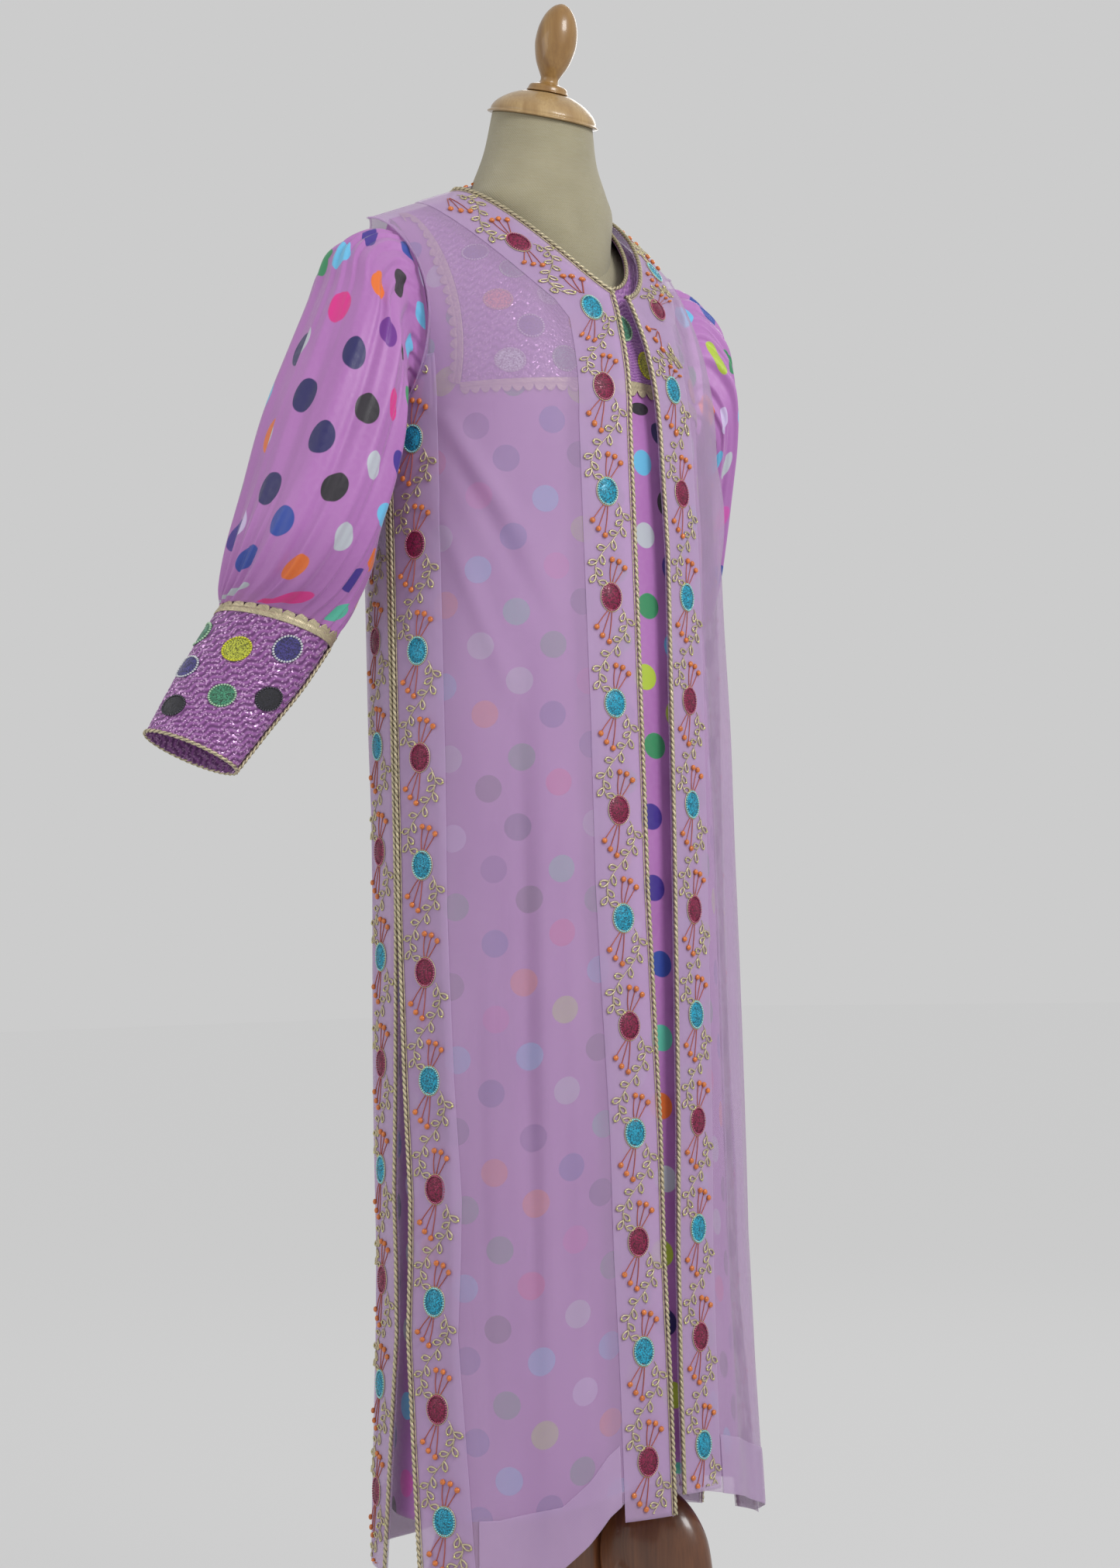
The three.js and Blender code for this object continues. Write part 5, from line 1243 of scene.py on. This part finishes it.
x = NECK_HALF * np.sin(np.linspace(-np.pi / 2, np.pi / 2, 160)) * 0.9995
back_angle, back_rise = neck_line(OUTER, NECK_BACK, x, False)
strip = strip_beside(OUTER, back_angle, back_rise, -1, BAND + 6)
BANDS["neck_band_back"] = {"strips": (strip,), "length": (strip["s"][-1],), "side": -1}
SIDE_EDGES = {
    "front_right": (lambda r: side_edge(r) - np.pi, -1),
    "back_right": (lambda r: np.pi - side_edge(r), 1),
    "back_left": (lambda r: side_edge(r), -1),
    "front_left": (lambda r: -side_edge(r), 1),
}
UNDERARM = 379                      # the stop at which the cord of a side edge ends
for name, (angle_at, side) in SIDE_EDGES.items():
    rise = np.concatenate([edge_rises(angle_at, -3.0, UNDERARM + 1), np.linspace(-3, 34, 14)[1:]])
    strip = strip_beside(OUTER, angle_at(rise), rise, side, BAND + 6)
    BANDS[f"side_band_{name}"] = {"strips": (strip,), "length": (strip["s"][UNDERARM],), "side": side,
                                  "armhole": True, "full": strip["s"][-1]}


def inset_of(band, s):
    """How far in from its edge a band starts at s: the cord's room, or more where the armhole
    cuts across it."""
    if "armhole" not in band:
        return np.full(np.shape(s), EDGE_ROOM)
    strip, t = band["strips"][0], np.linspace(0, BAND, 101)
    angle, rise = strip_places(strip, np.asarray(s)[..., None], t)
    clear = np.abs(angle - strip["angle"][UNDERARM, 0]) >= armhole_bite(OUTER, rise) + 0.012 * (rise > 0)
    found = np.where(clear.any(axis=-1), t[np.argmax(clear, axis=-1)], BAND)
    return np.clip(found, EDGE_ROOM, BAND - 0.6)


def on_band(band, s, t, height):
    """Points of a band at s along its edge, t in from the edge and a height above the panel.
    Where the band turns the neck corner, its two strips meet on a mitre: s is drawn back before
    the corner and pushed on after it, by the most at the corner and by nothing 90 mm away."""
    s, t, height = np.broadcast_arrays(*(np.asarray(v, float) for v in (s, t, height)))
    strips = band["strips"]
    if len(strips) == 1:
        return on_strip(strips[0], s, t, height)
    corner = band["length"][0]
    pull = t * band["mitre"] * (1 - smooth(np.abs(s - corner) / CORNER_REACH))
    below = on_strip(strips[0], np.minimum(s, corner) - pull, t, height)
    above = on_strip(strips[1], np.maximum(s - corner, 0) + pull, t, height)
    return np.where((s < corner)[..., None], below, above)


# the second colour is the painted shade tone of the folds
BAND_CLOTH = chiffon("band_chiffon", (214, 186, 222), (194, 164, 206), 0.42)
STITCH_LINE = 46.5
for name, band in BANDS.items():
    total = band.get("full", sum(band["length"]))
    s = np.linspace(0, total, int(total / 4))[:, None]
    first = inset_of(band, s[:, 0])[:, None]
    t = first + (BAND - first) * np.concatenate([[0, 0.01], np.linspace(0.035, 0.98, 22), [0.993, 1]])
    edge_in = np.minimum(t - first, BAND - t)
    puff = 0.6 * (1 - np.exp(-edge_in / 1.2)) - 0.35 * np.exp(-((t - STITCH_LINE) / 0.9) ** 2)
    puff = puff + 0.12 * np.sin(0.31 * s + 0.4 * t) * np.sin(0.043 * s)
    points = on_band(band, s, t, 1.4 + puff)
    if band["side"] > 0:
        points = points[:, ::-1]
    cloth = weave(name.replace("band", "chiffon_band"), points, metres_of_cloth(points), BAND_CLOTH)
    lay(cloth, points, name, wall=0.4)

# ---------------------------------------------------------------- gold cords on the edges
# A two-strand twisted gold cord is couched along every embroidered edge, with a thin gold thread
# run beside it on the band.
for name, band in BANDS.items():
    total = sum(band["length"])
    corner = band["length"][0] if len(band["length"]) > 1 else -1e9
    s = np.linspace(0.5, total - 0.5, int(total / 1.25))
    edge = on_band(band, s, 1.7, 3.0)
    out = edge - on_band(band, s, 1.7, 1.0)
    cord = cord_along(name.replace("band", "gold_cord"), edge, out, CORD_RADIUS, GOLD_CORD, CORD_TWIST, 10)
    s = np.linspace(0.5, total - 0.5, int(total / 4))
    thin = on_band(band, s, 4.3, 2.3)
    out = thin - on_band(band, s, 4.3, 1.0)
    thread = cord_along(name.replace("band", "gold_thread"), thin, out, 0.45, GOLD, sides=5)
    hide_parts(name.replace("band", "piping"))

# ---------------------------------------------------------------- doubled hems
# Between the bands the chiffon is turned up twice, so the hem is a denser stripe with a stitched top.
HEM_BAND = 48.0
HEM_GAP = 2.5
HEM_STITCHES = 45.0


def beside_band(band):
    """Angle of a band's inner edge at its hem."""
    angle, _ = strip_places(band["strips"][0], 0.0, BAND + HEM_GAP)
    return float(angle)


HEMS = [("front_right", "side_band_front_right", "front_band_right"),
        ("front_left", "front_band_left", "side_band_front_left"),
        ("back", "side_band_back_left", "side_band_back_right")]
for name, first, last in HEMS:
    angle = np.linspace(beside_band(BANDS[first]), beside_band(BANDS[last]), 110)[None, :]
    up = np.concatenate([[0.2, 1.0], np.linspace(3, HEM_BAND - 2, 14), [HEM_BAND - 1, HEM_BAND]])
    up = up[:, None]
    puff = 0.5 * (1 - np.exp(-np.minimum(up, HEM_BAND - up) / 1.2))
    puff = puff - 0.3 * np.exp(-((up - HEM_STITCHES) / 0.9) ** 2)
    rise = hem_rise(OUTER, angle) + up
    points = hung(OUTER, np.broadcast_to(angle, rise.shape), rise, 1.5 + puff)
    hem = weave(f"chiffon_hem_{name}", points, metres_of_cloth(points), BAND_CLOTH)
    lay(hem, points, f"hem_band_{name}", wall=0.4)

# ---------------------------------------------------------------- bead and thread embroidery
# A running pattern worked on the bands: beaded ovals in teal and maroon by turns, coral stems with
# orange berries above and below each, and a gold vine with looped leaves that swings between them.
REPEAT = 87.5
OVAL = (9.5, 11.5)                 # half-width and half-height
BAND_MIDDLE = 27.0
BERRY = 2.5
STEMS = [  # from (x, y), through, to, seen with the oval's middle at the origin
    ((0, 10), (-1.5, 20), (1.5, 31)), ((1, 10), (3.5, 19), (8, 29.5)),
    ((2, 9.5), (7.5, 16), (13.5, 24.5)), ((0, -10), (-0.5, -22), (-4, -37)),
    ((-1, -10), (-4.5, -19), (-10, -32)), ((-2, -9.5), (-8.5, -16), (-15, -25)),
]
VINE_SWING, VINE_TOP, VINE_RUN = 22.0, -9.0, -69.5
LEAF_PLACES = [0.05, 0.13, 0.21, 0.29, 0.37, 0.45, 0.55, 0.63, 0.71, 0.79, 0.87, 0.95]


def vine(u):
    """The gold vine: an S that leaves an oval at its lower right and reaches the next one down at
    its upper left, as a cosine that is small at both ends."""
    x = VINE_SWING * np.cos(np.pi * u) * np.sin(np.pi * (0.15 + 0.7 * u))
    return np.stack([x, VINE_TOP + VINE_RUN * u], -1)


def flat_thread(path, radius, height, sides=4):
    """A round thread laid along a flat path (x, y), at a height; a closed path joins its ends."""
    closed = np.allclose(path[0], path[-1])
    ahead = np.gradient(path, axis=0)
    if closed:
        ahead[0] = ahead[-1] = path[1] - path[-2]
    aside = unit(np.stack([-ahead[:, 1], ahead[:, 0]], -1))
    theta = np.linspace(0, 2 * np.pi, sides + 1)
    flat = path[:, None] + radius * np.cos(theta)[None, :, None] * aside[:, None]
    lift = np.broadcast_to(height + radius * np.sin(theta), flat.shape[:2])
    grid = np.concatenate([flat, lift[..., None]], -1)
    if closed:
        grid = grid[:-1]
        number = np.arange(len(grid) * sides).reshape(len(grid), sides)
        number = np.vstack([np.hstack([number, number[:, :1]]), np.append(number[0], number[0, 0])])
        quads = np.stack([number[:-1, :-1], number[:-1, 1:], number[1:, 1:], number[1:, :-1]], -1)
        return grid[:, :-1].reshape(-1, 3), quads.reshape(-1, 4)
    return grid[:, :-1].reshape(-1, 3), grid_faces(len(path), sides + 1, True)[1]


def bent(a, b, c, steps):
    """A path from a to c that b pulls aside, as a quadratic curve."""
    t = np.linspace(0, 1, steps)[:, None]
    return np.array(a) * (1 - t) ** 2 + 2 * np.array(b) * t * (1 - t) + np.array(c) * t ** 2


def leaf_loop(at, heading, size=8.0):
    """A teardrop loop of thread from a place, pointing along a heading."""
    t = np.linspace(0, 2 * np.pi, 11)
    long, wide = size * (1 - np.cos(t)) / 2, size * 0.36 * np.sin(t) * np.sin(t / 2)
    c, s = np.cos(heading), np.sin(heading)
    return np.stack([at[0] + long * c - wide * s, at[1] + long * s + wide * c], -1)


GOLD_NO, STEM_NO, ORANGE_NO, TEAL_NO, TEAL_RIM_NO, MAROON_NO, MAROON_RIM_NO, LEAF_BEAD_NO = range(8)
EMBROIDERY = [
    GOLD, gold_thread("stem_thread", (172, 84, 66), 0.1),
    beads("orange_beads", (222, 98, 34), roughness=0.4),
    stitched_dot("teal_glitter", (12, 116, 142), 0.0), beads("bright_teal_beads", (120, 186, 190)),
    stitched_dot("maroon_glitter", (98, 4, 44), 0.0), beads("rose_beads", (150, 70, 100)),
    beads("gold_beads", (206, 178, 112), 0.7),
]


def oval_of_beads(fill, rim):
    """One oval: a low dome packed with glitter, a fine rim of brighter beads and a gold line."""
    dome, faces = disc(1.0, 0.0, 1.0, 6, 28)
    parts = [(dome * (OVAL[0] - 0.7, OVAL[1] - 0.7, 1.7) + (0, 0, 0.1), faces, fill)]
    turn = np.linspace(0, 2 * np.pi, 35)[:-1]
    places = np.stack([(OVAL[0] - 0.5) * np.cos(turn), (OVAL[1] - 0.5) * np.sin(turn),
                       0.7 + 0 * turn], -1)
    ball, ball_faces = scatter(bead_ball(), places, (0.85, 0.85, 0.8))
    parts.append((ball, ball_faces, rim))
    turn = np.linspace(0, 2 * np.pi, 31)
    line = np.stack([(OVAL[0] + 0.7) * np.cos(turn), (OVAL[1] + 0.7) * np.sin(turn)], -1)
    parts.append((*flat_thread(line, 0.4, 0.3), GOLD_NO))
    return gather(parts)


def sprays():
    """Stems with berries above and below an oval, and the vine down to the next one."""
    parts = []
    for a, b, c in STEMS:
        parts.append((*flat_thread(bent(a, b, c, 9), 0.45, 0.35), STEM_NO))
        parts.append((*scatter(bead_ball(), [(c[0], c[1], 1.3)], (BERRY, BERRY, 1.8)), ORANGE_NO))
    u = np.linspace(0, 1, 32)
    parts.append((*flat_thread(vine(u), 0.4, 0.4), GOLD_NO))
    for k, place in enumerate(LEAF_PLACES):
        at, ahead = vine(np.array([place]))[0], vine(np.array([place + 0.01]))[0]
        heading = np.arctan2(*(ahead - at)[::-1]) + (0.9 if k % 2 else -0.9)
        loop = leaf_loop(at, heading)
        parts.append((*flat_thread(loop, 0.8, 0.6), GOLD_NO))
        tip = [(*loop[5], 0.9)]
        parts.append((*scatter(bead_ball(), tip, (1.1, 1.1, 0.9)), LEAF_BEAD_NO))
    return gather(parts)


def stiff_on_band(band, flat, centre):
    """Points of a stiff piece on a band, at flat places (s, t, height): it keeps its shape, tangent
    to the band at its centre (s, t)."""
    along, inward = ((centre + step, centre - step) for step in (np.array([3.0, 0]), np.array([0, 3.0])))
    heading, inward = (unit(on_band(band, *a, 2.0) - on_band(band, *b, 2.0)) for a, b in (along, inward))
    normal = unit(np.cross(heading, inward))
    inward = np.cross(normal, heading)
    out = on_band(band, *centre, 3.0) - on_band(band, *centre, 2.0)
    away = flat - (*centre, 0)
    return (on_band(band, *centre, 2.0) + away[:, :1] * heading + away[:, 1:2] * inward
            + away[:, 2:] * normal * np.sign((normal * out).sum()))


OVALS = [oval_of_beads(TEAL_NO, TEAL_RIM_NO), oval_of_beads(MAROON_NO, MAROON_RIM_NO)]
SPRAYS = sprays()
FIRST_OVAL = {  # place of one oval along each band, and whether it is teal (0) or maroon (1)
    "front_band_right": (lambda band: band["length"][0] - 4, 0),
    "front_band_left": (lambda band: band["length"][0] + 4, 1),
    "neck_band_back": (lambda band: 40, 0), "side_band_front_right": (lambda band: 46, 0),
    "side_band_back_right": (lambda band: 60, 1), "side_band_back_left": (lambda band: 50, 0),
    "side_band_front_left": (lambda band: 58, 1),
}
for name, band in BANDS.items():
    total = band.get("full", sum(band["length"]))
    anchor, tone_at = FIRST_OVAL[name]
    anchor = anchor(band)
    parts = []
    for k in range(int(np.floor((14 - anchor) / REPEAT)), int(np.ceil((total - anchor) / REPEAT)) + 1):
        middle = anchor + k * REPEAT
        across = -band["side"]
        for (points, faces, pick), whole in ((OVALS[(tone_at + k) % 2], True), (SPRAYS, False)):
            s = middle + points[:, 1]
            t = BAND_MIDDLE + across * points[:, 0]
            inside = (s > 3) & (s < total - 2) & (t > inset_of(band, s) + 1) & (t < BAND - 0.5)
            kept = inside[faces].all(axis=1)
            if whole and not kept.all():
                continue
            flat = np.stack([s, t, points[:, 2]], -1)
            placed = (stiff_on_band(band, flat, np.array([middle, BAND_MIDDLE])) if whole
                      else on_band(band, s, t, points[:, 2] + 2.0))
            parts.append((placed, faces[kept], pick[kept]))
    sizes = np.cumsum([0] + [len(part[0]) for part in parts])
    faces = np.concatenate([part[1] + size for part, size in zip(parts, sizes)])
    pick = np.concatenate([part[2] for part in parts])
    used, numbers = np.unique(faces, return_inverse=True)
    points, faces = np.concatenate([part[0] for part in parts])[used], numbers.reshape(faces.shape)
    if band["side"] < 0:
        faces = faces[:, ::-1]
    stitched = sew(name.replace("band", "embroidery"), points, faces, EMBROIDERY, pick=pick)

# ---------------------------------------------------------------- floor, light and camera
# An even pale sky, a floor that glows about as bright so that no horizon shows, three large soft
# lights, and the camera a little under half the form's height, to the wearer's right.
SKY_TONE = (204, 204, 204)
bpy.ops.mesh.primitive_plane_add(size=60)
floor = bpy.context.object
floor.name = "studio_floor"
floor_material, shader = surface("studio_floor", (96, 96, 96), 1.0, Specular_IOR_Level=0.0)
shader.inputs["Emission Color"].default_value = srgb(*SKY_TONE)
shader.inputs["Emission Strength"].default_value = 0.865
floor.data.materials.append(floor_material)

world = bpy.data.worlds.new("studio")
world.use_nodes = True
world.node_tree.nodes["Background"].inputs[0].default_value = srgb(*SKY_TONE)
world.node_tree.nodes["Background"].inputs[1].default_value = 1.0
bpy.context.scene.world = world
bpy.context.scene.view_settings.view_transform = "Standard"

CAMERA_TURN, CAMERA_DISTANCE, CAMERA_HEIGHT = np.radians(42.0), 2.36, 0.654
CAMERA_YAW, CAMERA_PITCH, CAMERA_ROLL = np.radians(0.17), np.radians(3.85), np.radians(1.36)
LIGHTS = [  # turn from the camera's side, height, distance, size, watts
    ("key", 40, 2.2, 2.4, 1.0, 40), ("fill", -60, 1.4, 2.8, 1.8, 12), ("back", 165, 2.3, 2.6, 1.4, 14),
]
target = Vector((AXIS[0], AXIS[1], 0.75))
for name, turn_degrees, height, distance, size, watts in LIGHTS:
    light = bpy.data.lights.new(name, "AREA")
    light.size, light.energy = size, watts
    lamp = bpy.data.objects.new(name, light)
    bpy.context.scene.collection.objects.link(lamp)
    at = -CAMERA_TURN - np.pi / 2 + np.radians(turn_degrees)
    lamp.location = (AXIS[0] + distance * np.cos(at), AXIS[1] + distance * np.sin(at), height)
    lamp.rotation_euler = (target - lamp.location).to_track_quat("-Z", "Y").to_euler()

ahead = Vector((np.sin(CAMERA_TURN + CAMERA_YAW) * np.cos(CAMERA_PITCH),
                np.cos(CAMERA_TURN + CAMERA_YAW) * np.cos(CAMERA_PITCH), np.sin(CAMERA_PITCH)))
level_right = ahead.cross(Vector((0, 0, 1))).normalized()
level_up = level_right.cross(ahead)
right = np.cos(CAMERA_ROLL) * level_right - np.sin(CAMERA_ROLL) * level_up
up = np.sin(CAMERA_ROLL) * level_right + np.cos(CAMERA_ROLL) * level_up
lens = bpy.data.cameras.new("camera")
lens.sensor_fit, lens.sensor_height, lens.lens = "VERTICAL", 36.0, 63.0
camera = bpy.data.objects.new("camera", lens)
placed = Matrix((right, up, -ahead)).transposed().to_4x4()
placed.translation = (AXIS[0] - CAMERA_DISTANCE * np.sin(CAMERA_TURN),
                      AXIS[1] - CAMERA_DISTANCE * np.cos(CAMERA_TURN), CAMERA_HEIGHT)
camera.matrix_world = placed
bpy.context.scene.collection.objects.link(camera)
bpy.context.scene.camera = camera
